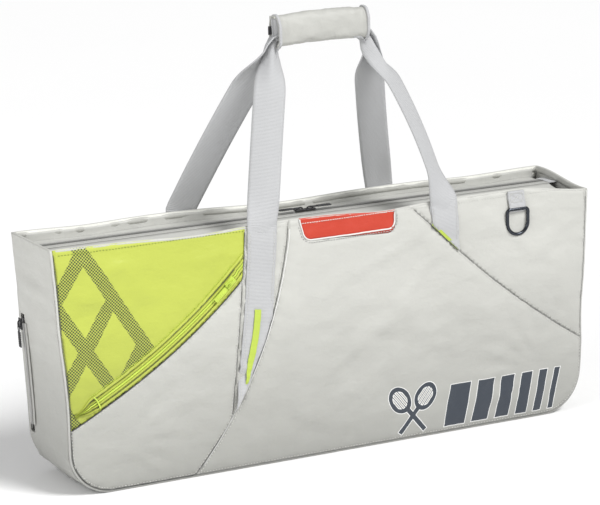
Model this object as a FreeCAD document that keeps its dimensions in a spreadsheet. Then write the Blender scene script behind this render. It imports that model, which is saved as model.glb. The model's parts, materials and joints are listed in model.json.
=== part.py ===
# Racket tournament bag: a long, shallow tote with a zipped mouth, a zipped front pocket and web handles.
# Millimetres. X runs along the bag, -Y is its front, +Z is up. The origin is the middle of the base.
import FreeCAD, Part
import math
import os
import re

import Sketcher

doc = FreeCAD.newDocument("racket_tournament_bag")
sheet = doc.addObject("Spreadsheet::Sheet", "sizes")

SIZES = {
    # the shell
    "bag_length": 750, "bag_depth": 125, "rim_height": 305, "side_taper": 14, "bottom_corner_radius": 58,
    "outer_fabric": 1.2, "foam_thickness": 3, "lining_fabric": 0.8, "layer_gap": 0.1, "piping_size": 3.2,
    "board_thickness": 2.5, "board_margin": 6, "moving_gap": 0.3,
    # the seams of the front
    "yoke_seam_top": 120.5, "yoke_foot_reach": 148.5, "yoke_foot_height": 68, "centre_seam_top": 62,
    "centre_seam_foot": 199, "centre_seam_radius": 600, "right_seam_top": 110, "right_seam_foot_height": 98,
    "right_seam_radius": 1118, "pocket_edge_left_height": 84, "pocket_edge_right_height": 240,
    "pocket_edge_radius": 812, "inset_left": 48, "inset_right": 88, "inset_depth": 28, "inset_slope": 6,
    "inset_right_slope": 2, "inset_corner_radius": 11,
    # the rim
    "hem_height": 28, "stiffener_thickness": 1.2, "stiffener_height": 15, "stiffener_drop": 2,
    "stiffener_end_gap": 8,
    # the web straps
    "webbing_width": 38, "webbing_thickness": 2, "front_left_strap": 98.5, "front_right_strap": 157,
    "rear_left_strap": 149, "rear_right_strap": 133, "rear_anchor_length": 155, "right_anchor_length": 52,
    "right_anchor_slant": 20, "left_anchor_bend": 105, "left_anchor_lean": 10.5,
    "left_anchor_foot_inset": 2, "left_anchor_foot_rise": 6, "accent_width": 9, "accent_thickness": 0.6,
    "accent_top_rise": 97,
    "accent_foot_rise": 34, "accent_edge_inset": 0.81, "accent_foot_reach": 13.44, "accent_foot_width": 5,
    # the handle
    "handle_centre": 19.5, "wrap_length": 137, "wrap_height": 42, "wrap_depth": 26, "wrap_bottom": 508,
    "wrap_corner_radius": 9, "wrap_fabric": 1.2, "wrap_foam": 2.4, "grip_spacing": 7,
    "patch_thickness": 0.8, "patch_height": 22, "flap_height": 32, "flap_end_gap": 3, "left_leg_top": 31,
    "right_leg_top": 84,
    # the zips
    "tape_width": 15, "tape_thickness": 0.6, "coil_width": 2.8, "coil_height": 2, "coil_gap": 0.6,
    "slot_width": 12, "welt_width": 5, "welt_start": 3.8, "zip_line_offset": 22, "flap_level": 13,
    "zip_end_gap": 16, "end_tab_length": 12, "pocket_tape_width": 9, "pocket_zip_inset": 12,
    "pocket_zip_left_gap": 36.20, "pocket_zip_reach": 2.19, "pocket_slider_drop": 14.56,
    "side_zip_offset": 14, "side_zip_top": 206, "side_zip_length": 150, "side_slider_drop": 12,
    # sliders and pulls
    "slider_length": 14, "slider_width": 9, "slider_plate": 1.5, "slider_post": 0.5, "crown_width": 3,
    "crown_length": 6, "crown_height": 3.8, "pivot_height": 1.8, "pin_radius": 0.9, "pin_clearance": 0.4,
    "pull_thickness": 1.6, "pull_width": 7, "pull_arm": 1.1, "pull_reach": 9, "pull_length": 30,
    "slider_meeting": 4,
    # the D-ring
    "ring_centre": 264, "ring_pivot_drop": 24, "ring_wire": 4, "ring_width": 35, "ring_drop": 37,
    "ring_tab_width": 25, "ring_tab_wall": 1.6,
}

for row, (alias, number) in enumerate(SIZES.items(), start=1):
    sheet.set(f"A{row}", alias)
    sheet.set(f"B{row}", str(number))
    sheet.setAlias(f"B{row}", alias)
doc.recompute()


# ---------------------------------------------------------------- values and expressions
def value(text):
    """The number that an expression of cell names gives now."""
    return float(sheet.evalExpression(str(text)))


def bound(text):
    """The same expression, as another object of the document reads it."""
    return re.sub(r"\b([a-z]+(?:_[a-z]+)+)\b", r"sizes.\1", str(text))


def bind(thing, **sizes):
    """Tie properties of an object to expressions."""
    for name, text in sizes.items():
        thing.setExpression(name, bound(text))


def place(thing, x="0", y="0", z="0"):
    """Tie the position of an object to expressions."""
    for axis, text in zip("xyz", (x, y, z)):
        thing.setExpression(f"Placement.Base.{axis}", bound(text))


# Worked out from the cells, as text, so that every object follows them.
SLANT = "sqrt(1 + (side_taper/rim_height)^2)"
FRONT = "(-bag_depth/2)"
BACK = "(bag_depth/2)"
PANEL_INSET = "(piping_size + layer_gap)"
FOAM_START = "(outer_fabric + layer_gap)"
LINING_START = "(outer_fabric + foam_thickness + 2*layer_gap)"
INNER_START = "(outer_fabric + foam_thickness + lining_fabric + 3*layer_gap)"
FACING_START = f"({INNER_START} + stiffener_thickness + layer_gap)"
CLOSURE_START = f"({FACING_START} + lining_fabric + moving_gap)"
CLOSURE_LEVEL = "(rim_height - flap_level)"
WRAP_LEFT = "(handle_centre - wrap_length/2)"
LEG_TOP = "(wrap_bottom - moving_gap)"
LEFT_EDGE = "(-front_left_strap - webbing_width/2)"
RIGHT_EDGE = "(-front_left_strap + webbing_width/2)"
ANCHOR_BEND = (f"({RIGHT_EDGE} - left_anchor_lean)", "(rim_height - left_anchor_bend)")
ANCHOR_FOOT = ("(-yoke_foot_reach + left_anchor_foot_inset)", "(yoke_foot_height + left_anchor_foot_rise)")


def side_x(height, inset="0"):
    """Half the bag's length at a height, measured to a line set in from its slanting side."""
    return f"(bag_length/2 - side_taper*(1 - ({height})/rim_height) - ({inset})*{SLANT})"


def anchor_left_x(height):
    """X of the left-hand edge of the front's left strap, a straight line down to its foot."""
    run = f"(rim_height - ({height}))/(rim_height - {ANCHOR_FOOT[1]})"
    return f"({LEFT_EDGE} + ({ANCHOR_FOOT[0]} - {LEFT_EDGE})*{run})"


def anchor_right_x(height):
    """X of that strap's right-hand edge, between its bend and its foot."""
    run = f"({ANCHOR_BEND[1]} - ({height}))/({ANCHOR_BEND[1]} - {ANCHOR_FOOT[1]})"
    return f"({ANCHOR_BEND[0]} + ({ANCHOR_FOOT[0]} - {ANCHOR_BEND[0]})*{run})"


def yoke_x(height):
    """X of the yoke seam, a straight line down to its foot."""
    run = f"(rim_height - ({height}))/(rim_height - yoke_foot_height)"
    return f"(-yoke_seam_top - (yoke_foot_reach - yoke_seam_top)*{run})"


# ---------------------------------------------------------------- shape helpers
counter = iter(range(1, 10000))


def fresh(stem):
    return f"{stem}_{next(counter)}"


def box(length, width, height, x="0", y="0", z="0"):
    block = doc.addObject("Part::Box", fresh("box"))
    bind(block, Length=length, Width=width, Height=height)
    place(block, x, y, z)
    return block


def rod(radius, length, x="0", y="0", z="0", direction=(0, 1, 0)):
    round_bar = doc.addObject("Part::Cylinder", fresh("rod"))
    bind(round_bar, Radius=radius, Height=length)
    turn = FreeCAD.Rotation(FreeCAD.Vector(0, 0, 1), FreeCAD.Vector(*direction))
    round_bar.Placement = FreeCAD.Placement(FreeCAD.Vector(), turn)
    place(round_bar, x, y, z)
    return round_bar


def fuse(*pieces):
    joined = doc.addObject("Part::MultiFuse", fresh("joined"))
    joined.Shapes = list(pieces)
    return joined


def cut(base, tool):
    result = doc.addObject("Part::Cut", fresh("cut"))
    result.Base = base
    result.Tool = tool
    return result


def common(base, tool):
    result = doc.addObject("Part::Common", fresh("common"))
    result.Base = base
    result.Tool = tool
    return result


def group(*pieces):
    """Separate solids kept together as one sub-part."""
    bundle = doc.addObject("Part::Compound", fresh("group"))
    bundle.Links = list(pieces)
    return bundle


def mid_arc(start, end, radius, side):
    """A third point for an arc between two points that bows to one side of its chord."""
    chord = end - start
    sagitta = radius - math.sqrt(radius ** 2 - (chord.Length / 2) ** 2)
    normal = FreeCAD.Vector(-chord.y, chord.x, 0).normalize()
    return (start + end) * 0.5 + normal * (sagitta * side)


def outline_sketch(body, plane, corners, bows=None, lift="0"):
    """A closed outline on one of the body's planes; bows maps an edge's index to (radius, side)."""
    bows = bows or {}
    sketch = body.newObject("Sketcher::SketchObject", fresh("outline"))
    base = [item for item in body.Origin.OriginFeatures if item.Role == plane][0]
    sketch.AttachmentSupport = [(base, "")]
    sketch.MapMode = "FlatFace"
    sketch.setExpression("AttachmentOffset.Base.z", bound(lift))
    points = [FreeCAD.Vector(value(u), value(v), 0) for u, v in corners]
    for index, start in enumerate(points):
        end = points[(index + 1) % len(points)]
        if index in bows:
            radius, side = bows[index]
            middle = mid_arc(start, end, value(radius), side)
            edge = sketch.addGeometry(Part.Arc(start, middle, end), False)
        else:
            edge = sketch.addGeometry(Part.LineSegment(start, end), False)
    starts = []
    for edge, start in enumerate(points):
        first = sketch.getPoint(edge, 1)
        starts.append(1 if (first - start).Length < 1e-6 else 2)
    for edge, start in enumerate(starts):
        following = (edge + 1) % len(points)
        meet = Sketcher.Constraint("Coincident", edge, 3 - start, following, starts[following])
        sketch.addConstraint(meet)
    for edge, (u, v) in enumerate(corners):
        for kind, text in (("DistanceX", u), ("DistanceY", v)):
            rule = Sketcher.Constraint(kind, -1, 1, edge, starts[edge], value(text))
            index = sketch.addConstraint(rule)
            sketch.setExpression(f"Constraints[{index}]", bound(text))
    for edge, (radius, side) in bows.items():
        index = sketch.addConstraint(Sketcher.Constraint("Radius", edge, value(radius)))
        sketch.setExpression(f"Constraints[{index}]", bound(radius))
    return sketch


def edges_along(shape, corners, axes):
    """Names of the edges that stand over the given corners of an outline."""
    spots = [(value(u), value(v)) for u, v in corners]
    names = []
    for index, edge in enumerate(shape.Edges, start=1):
        ends = [tuple(getattr(vertex.Point, axis) for axis in axes) for vertex in edge.Vertexes]
        for spot in spots:
            if all(math.dist(end, spot) < 0.01 for end in ends):
                names.append(f"Edge{index}")
    return names


def plate(corners, thickness, plane="XZ_Plane", bows=None, rounds=None):
    """A flat piece padded from an outline; rounds maps a radius to the corners that it softens."""
    body = doc.addObject("PartDesign::Body", fresh("plate"))
    sketch = outline_sketch(body, plane, corners, bows)
    pad = body.newObject("PartDesign::Pad", fresh("pad"))
    pad.Profile = sketch
    bind(pad, Length=thickness)
    doc.recompute()
    axes = {"XZ_Plane": "xz", "YZ_Plane": "yz", "XY_Plane": "xy"}[plane]
    for radius, spots in (rounds or {}).items():
        solid = body.Tip
        fillet = body.newObject("PartDesign::Fillet", fresh("rounding"))
        fillet.Base = (solid, edges_along(solid.Shape, spots, axes))
        bind(fillet, Radius=radius)
        body.Tip = fillet
        doc.recompute()
    return body


def front_to_back(piece, start, thickness):
    """Put a plate so that it starts at a distance behind the bag's front face."""
    place(piece, y=f"{FRONT} + {start} + {thickness}")
    return piece


def back_to_front(piece, start):
    """Put a plate so that it starts at a distance inside the bag's back face."""
    place(piece, y=f"{BACK} - {start}")
    return piece


def side_outline(inset, top="rim_height"):
    """The bag's front view, set in from its edge, and its two lower corners."""
    foot = f"({inset})"
    low_left = (f"-{side_x(foot, inset)}", foot)
    low_right = (side_x(foot, inset), foot)
    corners = [(f"-{side_x(top, inset)}", top), low_left, low_right, (side_x(top, inset), top)]
    return corners, [low_left, low_right]


def whole_face(inset, thickness, top="rim_height"):
    corners, feet = side_outline(inset, top)
    return plate(corners, thickness, rounds={f"bottom_corner_radius - ({inset})": feet})


def band(outer, inner, start, depth):
    """A U of cloth round the sides and base, between two insets."""
    outside = front_to_back(whole_face(outer, depth), start, depth)
    inside = front_to_back(whole_face(inner, depth, "rim_height + hem_height"), start, depth)
    return cut(outside, inside)


PARTS = {}


def keep(label, thing):
    thing.Label = label
    PARTS[label] = thing
    return thing


# ---------------------------------------------------------------- the front, cut from six panels
INSET_TOP_LEFT = ("-inset_left", "rim_height")
INSET_LOW_LEFT = ("-inset_left + inset_slope", "rim_height - inset_depth")
INSET_LOW_RIGHT = ("inset_right - inset_right_slope", "rim_height - inset_depth")
INSET_TOP_RIGHT = ("inset_right", "rim_height")
YOKE_FOOT = ("-yoke_foot_reach", "yoke_foot_height")
YOKE_TOP = ("-yoke_seam_top", "rim_height")
CENTRE_TOP = ("-centre_seam_top", "rim_height")
CENTRE_FOOT = ("-centre_seam_foot", PANEL_INSET)
RIGHT_TOP = ("right_seam_top", "rim_height")
RIGHT_FOOT = (side_x("right_seam_foot_height", PANEL_INSET), "right_seam_foot_height")
POCKET_LEFT = (f"-{side_x('pocket_edge_left_height', PANEL_INSET)}", "pocket_edge_left_height")
POCKET_RIGHT = (yoke_x("pocket_edge_right_height"), "pocket_edge_right_height")
PANEL_CORNERS, PANEL_FEET = side_outline(PANEL_INSET)
PANEL_TOP_LEFT, PANEL_LOW_LEFT, PANEL_LOW_RIGHT, PANEL_TOP_RIGHT = PANEL_CORNERS
PANEL_ROUND = f"bottom_corner_radius - {PANEL_INSET}"


def front_panel(corners, bows=None, rounds=None):
    panel = plate(corners, "outer_fabric", bows=bows, rounds=rounds)
    return front_to_back(panel, "0", "outer_fabric")


def pocket_ring(inner, outer, low_angle, high_angle, depth, start):
    """An arc-shaped strip about the centre of the pocket edge's curve."""
    wedge = doc.addObject("Part::Cylinder", fresh("wedge"))
    hole = doc.addObject("Part::Cylinder", fresh("wedge"))
    for disc, radius in ((wedge, outer), (hole, inner)):
        bind(disc, Radius=radius, Height=depth, Angle=low_angle - high_angle)
    ring = cut(wedge, hole)
    # the cylinder's own axis is laid along Y, and its wedge turned down to the low angle
    upright = FreeCAD.Rotation(FreeCAD.Vector(1, 0, 0), 90)
    turn = FreeCAD.Rotation(FreeCAD.Vector(0, 0, 1), -low_angle)
    centre = pocket_centre()
    ring.Placement = FreeCAD.Placement(FreeCAD.Vector(centre.x, 0, centre.y), upright * turn)
    ring.setExpression("Placement.Base.y", bound(f"{FRONT} + {start} + {depth}"))
    return ring


def pocket_centre():
    """Centre of the curve of the pocket's lower edge, as (x, z)."""
    left = FreeCAD.Vector(value(POCKET_LEFT[0]), value(POCKET_LEFT[1]), 0)
    right = FreeCAD.Vector(value(POCKET_RIGHT[0]), value(POCKET_RIGHT[1]), 0)
    chord = right - left
    radius = value("pocket_edge_radius")
    height = math.sqrt(radius ** 2 - (chord.Length / 2) ** 2)
    return (left + right) * 0.5 + FreeCAD.Vector(-chord.y, chord.x, 0).normalize() * height


ZIP_RADIUS = "(pocket_edge_radius - pocket_zip_inset)"


def pocket_angle(x, z, along):
    """Degrees about that centre from +X down to a point, then a length further along the zip."""
    centre = pocket_centre()
    angle = math.atan2(centre.y - value(z), value(x) - centre.x) + value(along) / value(ZIP_RADIUS)
    return math.degrees(angle)


def pocket_span():
    """The two angles that the pocket's zip runs between: by the left seam and by the strap."""
    height = "pocket_edge_right_height"
    return (pocket_angle(*POCKET_LEFT, "-pocket_zip_left_gap"),
            pocket_angle(anchor_left_x(height), height, "-pocket_zip_reach"))


SLOT = (f"{ZIP_RADIUS} - slot_width/2", f"{ZIP_RADIUS} + slot_width/2")


def pocket_slot(start, depth):
    return pocket_ring(*SLOT, *pocket_span(), depth, start)


def make_front():
    pocket = front_panel([PANEL_TOP_LEFT, POCKET_LEFT, POCKET_RIGHT, YOKE_TOP],
                         bows={1: ("pocket_edge_radius", -1)})
    keep("lime_pocket_panel", cut(pocket, pocket_slot("-layer_gap", "outer_fabric + 2*layer_gap")))
    keep("lower_left_panel", front_panel(
        [POCKET_LEFT, PANEL_LOW_LEFT, CENTRE_FOOT, YOKE_FOOT, POCKET_RIGHT],
        bows={2: ("centre_seam_radius", -1), 4: ("pocket_edge_radius", 1)},
        rounds={PANEL_ROUND: [PANEL_LOW_LEFT]}))
    keep("strap_yoke_panel", front_panel([YOKE_TOP, YOKE_FOOT, CENTRE_TOP],
                                         bows={1: ("centre_seam_radius", -1)}))
    keep("centre_panel", front_panel(
        [CENTRE_TOP, YOKE_FOOT, CENTRE_FOOT, PANEL_LOW_RIGHT, RIGHT_FOOT, RIGHT_TOP,
         INSET_TOP_RIGHT, INSET_LOW_RIGHT, INSET_LOW_LEFT, INSET_TOP_LEFT],
        bows={0: ("centre_seam_radius", 1), 1: ("centre_seam_radius", 1), 4: ("right_seam_radius", 1)},
        rounds={PANEL_ROUND: [PANEL_LOW_RIGHT], "inset_corner_radius": [INSET_LOW_LEFT, INSET_LOW_RIGHT]}))
    keep("right_panel", front_panel([RIGHT_TOP, RIGHT_FOOT, PANEL_TOP_RIGHT],
                                    bows={0: ("right_seam_radius", -1)}))
    keep("red_inset", front_panel([INSET_TOP_LEFT, INSET_LOW_LEFT, INSET_LOW_RIGHT, INSET_TOP_RIGHT],
                                  rounds={"inset_corner_radius": [INSET_LOW_LEFT, INSET_LOW_RIGHT]}))


# ---------------------------------------------------------------- the rest of the shell
GUSSET_START = "(piping_size + layer_gap)"
GUSSET_DEPTH = f"(bag_depth - 2*{GUSSET_START})"
BASE_SEAM = f"({side_x('0')} - bottom_corner_radius - piping_size)"


def side_zip_frame(height):
    """Placement on the left gusset: local X runs down it, local Z out of it."""
    lean = math.atan2(value("side_taper"), value("rim_height"))
    down = FreeCAD.Vector(math.sin(lean), 0, -math.cos(lean))
    out = FreeCAD.Vector(-math.cos(lean), 0, -math.sin(lean))
    turn = FreeCAD.Rotation(down, out.cross(down), out, "ZXY")
    spot = FreeCAD.Vector(-value(side_x(height)), value(f"{BACK} - side_zip_offset"), value(height))
    return FreeCAD.Placement(spot, turn)


def make_gussets():
    ring = band("0", "outer_fabric", GUSSET_START, GUSSET_DEPTH)
    tall = "rim_height + hem_height"
    left = common(ring, box("bag_length", "bag_depth", tall, f"-{BASE_SEAM} - bag_length", FRONT,
                            "-hem_height/2"))
    slot = box("side_zip_length", "slot_width", "hem_height", y="-slot_width/2", z="-hem_height/2")
    holder = group(slot)
    holder.Placement = side_zip_frame("side_zip_top")
    keep("left_gusset", cut(left, holder))
    keep("right_gusset", common(ring, box("bag_length", "bag_depth", tall, BASE_SEAM, FRONT,
                                          "-hem_height/2")))
    keep("base_panel", common(ring, box(f"2*{BASE_SEAM}", "bag_depth", tall, f"-{BASE_SEAM}", FRONT,
                                        "-hem_height/2")))


def make_shell():
    keep("back_panel", back_to_front(whole_face(PANEL_INSET, "outer_fabric"), "0"))
    padding = front_to_back(whole_face(PANEL_INSET, "foam_thickness"), FOAM_START, "foam_thickness")
    keep("front_foam", cut(padding, pocket_slot(FOAM_START, "foam_thickness/2")))
    keep("back_foam", back_to_front(whole_face(PANEL_INSET, "foam_thickness"), FOAM_START))
    front, back = [whole_face(PANEL_INSET, "lining_fabric") for _ in range(2)]
    keep("front_lining", front_to_back(front, LINING_START, "lining_fabric"))
    keep("back_lining", back_to_front(back, LINING_START))
    inner = "(outer_fabric + layer_gap)"
    ring = band(inner, f"{inner} + lining_fabric", INNER_START, f"(bag_depth - 2*{INNER_START})")
    slot = group(box("side_zip_length", "slot_width", "hem_height", y="-slot_width/2", z="-hem_height/2"))
    slot.Placement = side_zip_frame("side_zip_top")
    keep("gusset_lining", cut(ring, slot))
    make_gussets()
    keep("front_piping", band("0", "piping_size", "0", "piping_size"))
    keep("rear_piping", band("0", "piping_size", "bag_depth - piping_size", "piping_size"))
    level = "(outer_fabric + lining_fabric + 2*layer_gap)"
    half = f"({side_x('0')} - bottom_corner_radius)"
    keep("base_board", box(f"2*{half}", "bag_depth - 2*board_margin - 2*piping_size", "board_thickness",
                           f"-{half}", f"{FRONT} + board_margin + piping_size", level))


def rim_strips(start, thickness, height, drop):
    """Two long strips inside the rim, one on each long side."""
    half = f"({side_x('rim_height - hem_height')} - stiffener_end_gap)"
    low = f"rim_height - {drop} - {height}"
    front = box(f"2*{half}", thickness, height, f"-{half}", f"{FRONT} + {start}", low)
    back = box(f"2*{half}", thickness, height, f"-{half}", f"{BACK} - {start} - {thickness}", low)
    return group(front, back)


def make_rim():
    keep("rim_stiffener", rim_strips(INNER_START, "stiffener_thickness", "stiffener_height",
                                     "stiffener_drop"))
    keep("rim_facing", rim_strips(FACING_START, "lining_fabric", "hem_height", "0"))


# ---------------------------------------------------------------- web straps and handle
def make_anchors():
    left = plate([(LEFT_EDGE, "rim_height"), ANCHOR_FOOT, ANCHOR_BEND, (RIGHT_EDGE, "rim_height")],
                 "webbing_thickness")
    place(left, y=FRONT)
    keep("front_left_strap_anchor", left)
    low = "rim_height - right_anchor_length"
    edge = "front_right_strap - webbing_width/2"
    right = plate([(edge, "rim_height"), (edge, low),
                   (f"{edge} + webbing_width", f"{low} - right_anchor_slant"),
                   (f"{edge} + webbing_width", "rim_height")], "webbing_thickness")
    place(right, y=FRONT)
    keep("front_right_strap_anchor", right)
    for label, centre in (("rear_left_strap_anchor", "-rear_left_strap"),
                          ("rear_right_strap_anchor", "rear_right_strap")):
        keep(label, box("webbing_width", "webbing_thickness", "rear_anchor_length",
                        f"{centre} - webbing_width/2", BACK, "rim_height - rear_anchor_length"))


def leg(side, foot, head):
    """A strap's free length, from the rim to the underside of the handle."""
    body = doc.addObject("PartDesign::Body", fresh("leg"))
    foot_y = f"{side}*(bag_depth/2 + webbing_thickness/2)"
    head_y = f"{side}*grip_spacing/2"
    sketches = []
    for x, y, z in ((foot, foot_y, "rim_height + moving_gap"), (head, head_y, LEG_TOP)):
        left, right = f"({x} - webbing_width/2)", f"({x} + webbing_width/2)"
        low, high = f"({y} - webbing_thickness/2)", f"({y} + webbing_thickness/2)"
        corners = [(left, low), (right, low), (right, high), (left, high)]
        sketches.append(outline_sketch(body, "XY_Plane", corners, lift=z))
    doc.recompute()
    loft = body.newObject("PartDesign::AdditiveLoft", fresh("loft"))
    loft.Profile = sketches[0]
    loft.Sections = [sketches[1]]
    loft.Ruled = True
    body.Tip = loft
    return body


def make_legs():
    keep("front_left_strap_leg", leg(-1, "-front_left_strap", "-left_leg_top"))
    keep("front_right_strap_leg", leg(-1, "front_right_strap", "right_leg_top"))
    keep("rear_left_strap_leg", leg(1, "-rear_left_strap", "-left_leg_top"))
    keep("rear_right_strap_leg", leg(1, "rear_right_strap", "right_leg_top"))


def make_accents():
    """A stripe down the left strap and a bar across the foot of the right one."""
    top, foot = "yoke_foot_height + accent_top_rise", "yoke_foot_height + accent_foot_rise"
    top_right = f"{anchor_right_x(top)} - accent_edge_inset"
    foot_right = f"{anchor_right_x(foot)} + accent_foot_reach"
    stripe = plate([(f"{top_right} - accent_width", top), (f"{foot_right} - accent_foot_width", foot),
                    (foot_right, foot), (top_right, top)], "accent_thickness")
    edge, low = "front_right_strap - webbing_width/2", "rim_height - right_anchor_length"
    bar = plate([(edge, f"{low} + accent_width"), (edge, low),
                 (f"{edge} + webbing_width", f"{low} - right_anchor_slant"),
                 (f"{edge} + webbing_width", f"{low} - right_anchor_slant + accent_width")],
                "accent_thickness")
    for piece in (stripe, bar):
        place(piece, y=f"{FRONT} - webbing_thickness")
    keep("strap_accent_bars", group(stripe, bar))


def tube(inset, wall):
    """A rounded tube about the handle's line, set in from the wrap's outside."""
    def profile(offset):
        half = f"(wrap_depth/2 - ({offset}))"
        low, high = f"(wrap_bottom + ({offset}))", f"(wrap_bottom + wrap_height - ({offset}))"
        corners = [(f"-{half}", low), (half, low), (half, high), (f"-{half}", high)]
        rounds = {f"wrap_corner_radius - ({offset})": corners}
        return plate(corners, "wrap_length", "YZ_Plane", rounds=rounds)

    outside, inside = profile(inset), profile(f"{inset} + {wall}")
    for piece in (outside, inside):
        place(piece, x=WRAP_LEFT)
    return cut(outside, inside)


def make_handle():
    keep("wrap_cover", tube("0", "wrap_fabric"))
    keep("wrap_padding", tube("wrap_fabric + layer_gap", "wrap_foam"))
    room = "(wrap_fabric + wrap_foam + 2*layer_gap)"
    for label, side in (("front_grip_webbing", -1), ("rear_grip_webbing", 1)):
        keep(label, box("wrap_length", "webbing_thickness", f"wrap_height - 2*{room} - 2*layer_gap",
                        WRAP_LEFT, f"{side}*grip_spacing/2 - webbing_thickness/2",
                        f"wrap_bottom + {room} + layer_gap"))
    face, middle = "wrap_depth/2", "wrap_bottom + wrap_height/2"
    length, start = "wrap_length - 2*flap_end_gap", f"{WRAP_LEFT} + flap_end_gap"
    keep("wrap_loop_patch", box(length, "patch_thickness", "patch_height", start, face,
                                f"{middle} - patch_height/2"))
    hook = f"{face} + patch_thickness + moving_gap"
    keep("wrap_hook_patch", box(length, "patch_thickness", "patch_height", start, hook,
                                f"{middle} - patch_height/2"))
    keep("wrap_flap", box(length, "wrap_fabric", "flap_height", start, f"{hook} + patch_thickness",
                          f"{middle} - flap_height/2"))


# ---------------------------------------------------------------- the zipped mouth
def make_closure():
    half = f"({side_x(CLOSURE_LEVEL)} - zip_end_gap)"
    length = f"2*{half}"
    wall = f"(bag_depth/2 - {CLOSURE_START})"
    for name, side in (("front", -1), ("rear", 1)):
        def strip(near, far, thickness, low):
            """A strip along the zip, between two distances from the zip's line."""
            start = f"zip_line_offset - {far}" if side < 0 else f"zip_line_offset + {near}"
            return box(length, f"{far} - ({near})", thickness, f"-{half}", start, low)
        keep(f"{name}_zip_tape", strip("coil_gap", "tape_width", "tape_thickness", CLOSURE_LEVEL))
        keep(f"{name}_zip_coil", strip("coil_gap", "(coil_gap + coil_width)", "coil_height",
                                       f"{CLOSURE_LEVEL} + tape_thickness"))
        reach = f"({wall} {'+' if side < 0 else '-'} zip_line_offset)"
        keep(f"{name}_flap_panel", strip("(tape_width + layer_gap)", reach, "outer_fabric",
                                         f"{CLOSURE_LEVEL} - outer_fabric/2"))
    tabs = [box("end_tab_length", "2*tape_width", "2*tape_thickness", x, "zip_line_offset - tape_width",
                CLOSURE_LEVEL)
            for x in (f"{half} + moving_gap", f"-{half} - moving_gap - end_tab_length")]
    keep("main_zip_end_tabs", group(*tabs))


def make_pocket_zip():
    angles = pocket_span()

    def pair(near, far, depth, start):
        rings = [pocket_ring(f"{ZIP_RADIUS} {sign} {a}", f"{ZIP_RADIUS} {sign} {b}", *angles, depth, start)
                 for sign, a, b in (("-", far, near), ("+", near, far))]
        return group(*rings)
    keep("pocket_zip_tapes", pair("coil_gap", "pocket_tape_width", "tape_thickness", "(-tape_thickness)"))
    keep("pocket_zip_coil", pair("coil_gap", "(coil_gap + coil_width)", "coil_height",
                                 "(-tape_thickness - coil_height)"))
    keep("pocket_welt", pair("(slider_width/2 + moving_gap)", "(slider_width/2 + welt_width)",
                             "outer_fabric", "(-tape_thickness - outer_fabric)"))


def make_side_zip():
    def pair(near, far, thickness, low):
        strips = group(box("side_zip_length", f"{far} - {near}", thickness, y=near, z=low),
                       box("side_zip_length", f"{far} - {near}", thickness, y=f"-{far}", z=low))
        strips.Placement = side_zip_frame("side_zip_top")
        return strips
    keep("side_zip_tapes", pair("coil_gap", "pocket_tape_width", "tape_thickness", "0"))
    keep("side_zip_coil", pair("coil_gap", "(coil_gap + coil_width)", "coil_height", "tape_thickness"))


# ---------------------------------------------------------------- sliders and pulls
TOP_PLATE = "(tape_thickness + coil_height + moving_gap)"
CROWN_BASE = f"({TOP_PLATE} + slider_plate)"
PIVOT = f"({CROWN_BASE} + pivot_height)"


def slider():
    """A zip slider about its own origin: X is the way that its pull lies, Z is out of the cloth."""
    def slab(length, width, thickness, low):
        return box(length, width, thickness, f"-({length})/2", f"-({width})/2", low)
    lower = slab("slider_length", "slider_width", "slider_plate", "-moving_gap - slider_plate")
    upper = slab("slider_length", "slider_width", "slider_plate", TOP_PLATE)
    post = slab("slider_length/2", "slider_post", f"{TOP_PLATE} + moving_gap + slider_plate/2",
                "-moving_gap - slider_plate/4")
    crown = slab("crown_length", "crown_width", "crown_height", CROWN_BASE)
    bore = rod("pin_radius + pin_clearance", "2*crown_width", y="-crown_width", z=PIVOT)
    return cut(fuse(lower, upper, post, crown), bore)


def pull():
    """A zip pull in its slider's frame, lying flat along X."""
    inner = "(crown_width/2 + moving_gap)"
    pin = rod("pin_radius", f"2*{inner} + 2*pull_arm", y=f"-{inner} - pull_arm", z=PIVOT)
    low = f"{PIVOT} - pull_thickness/2"
    arms = [box("pull_reach + pull_thickness/2", "pull_arm", "pull_thickness", "-pull_thickness/2", y, low)
            for y in (inner, f"-{inner} - pull_arm")]
    tab = box("pull_length - pull_reach + pull_arm", "pull_width", "pull_thickness",
              "pull_reach - pull_arm", "-pull_width/2", low)
    return fuse(pin, *arms, tab)


def turned(piece, placement):
    holder = group(piece)
    holder.Placement = placement
    return holder


def main_slider_frame(side):
    spot = FreeCAD.Vector(value(f"slider_meeting + {side}*(slider_length/2 + moving_gap)"),
                          value("zip_line_offset"), value(CLOSURE_LEVEL))
    turn = FreeCAD.Rotation(FreeCAD.Vector(0, 0, 1), 0 if side > 0 else 180)
    return FreeCAD.Placement(spot, turn)


def pocket_slider_frame():
    centre, radius, height = pocket_centre(), value(ZIP_RADIUS), "pocket_edge_right_height"
    angle = math.radians(pocket_angle(anchor_left_x(height), height, "pocket_slider_drop"))
    spot = FreeCAD.Vector(centre.x + radius * math.cos(angle), value(FRONT),
                          centre.y - radius * math.sin(angle))
    down = FreeCAD.Vector(-math.sin(angle), 0, -math.cos(angle))
    out = FreeCAD.Vector(0, -1, 0)
    return FreeCAD.Placement(spot, FreeCAD.Rotation(down, out.cross(down), out, "ZXY"))


def make_sliders():
    frames = {"main_left": main_slider_frame(-1), "main_right": main_slider_frame(1),
              "pocket": pocket_slider_frame(), "side": side_zip_frame("side_zip_top - side_slider_drop")}
    for name, frame in frames.items():
        keep(f"{name}_slider", turned(slider(), frame))
        keep(f"{name}_pull", turned(pull(), frame))


# ---------------------------------------------------------------- D-ring
RING_PIVOT_HEIGHT = "(rim_height - ring_pivot_drop)"
RING_PIVOT_Y = f"({FRONT} - ring_tab_wall - pin_clearance - ring_wire/2)"


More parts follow.
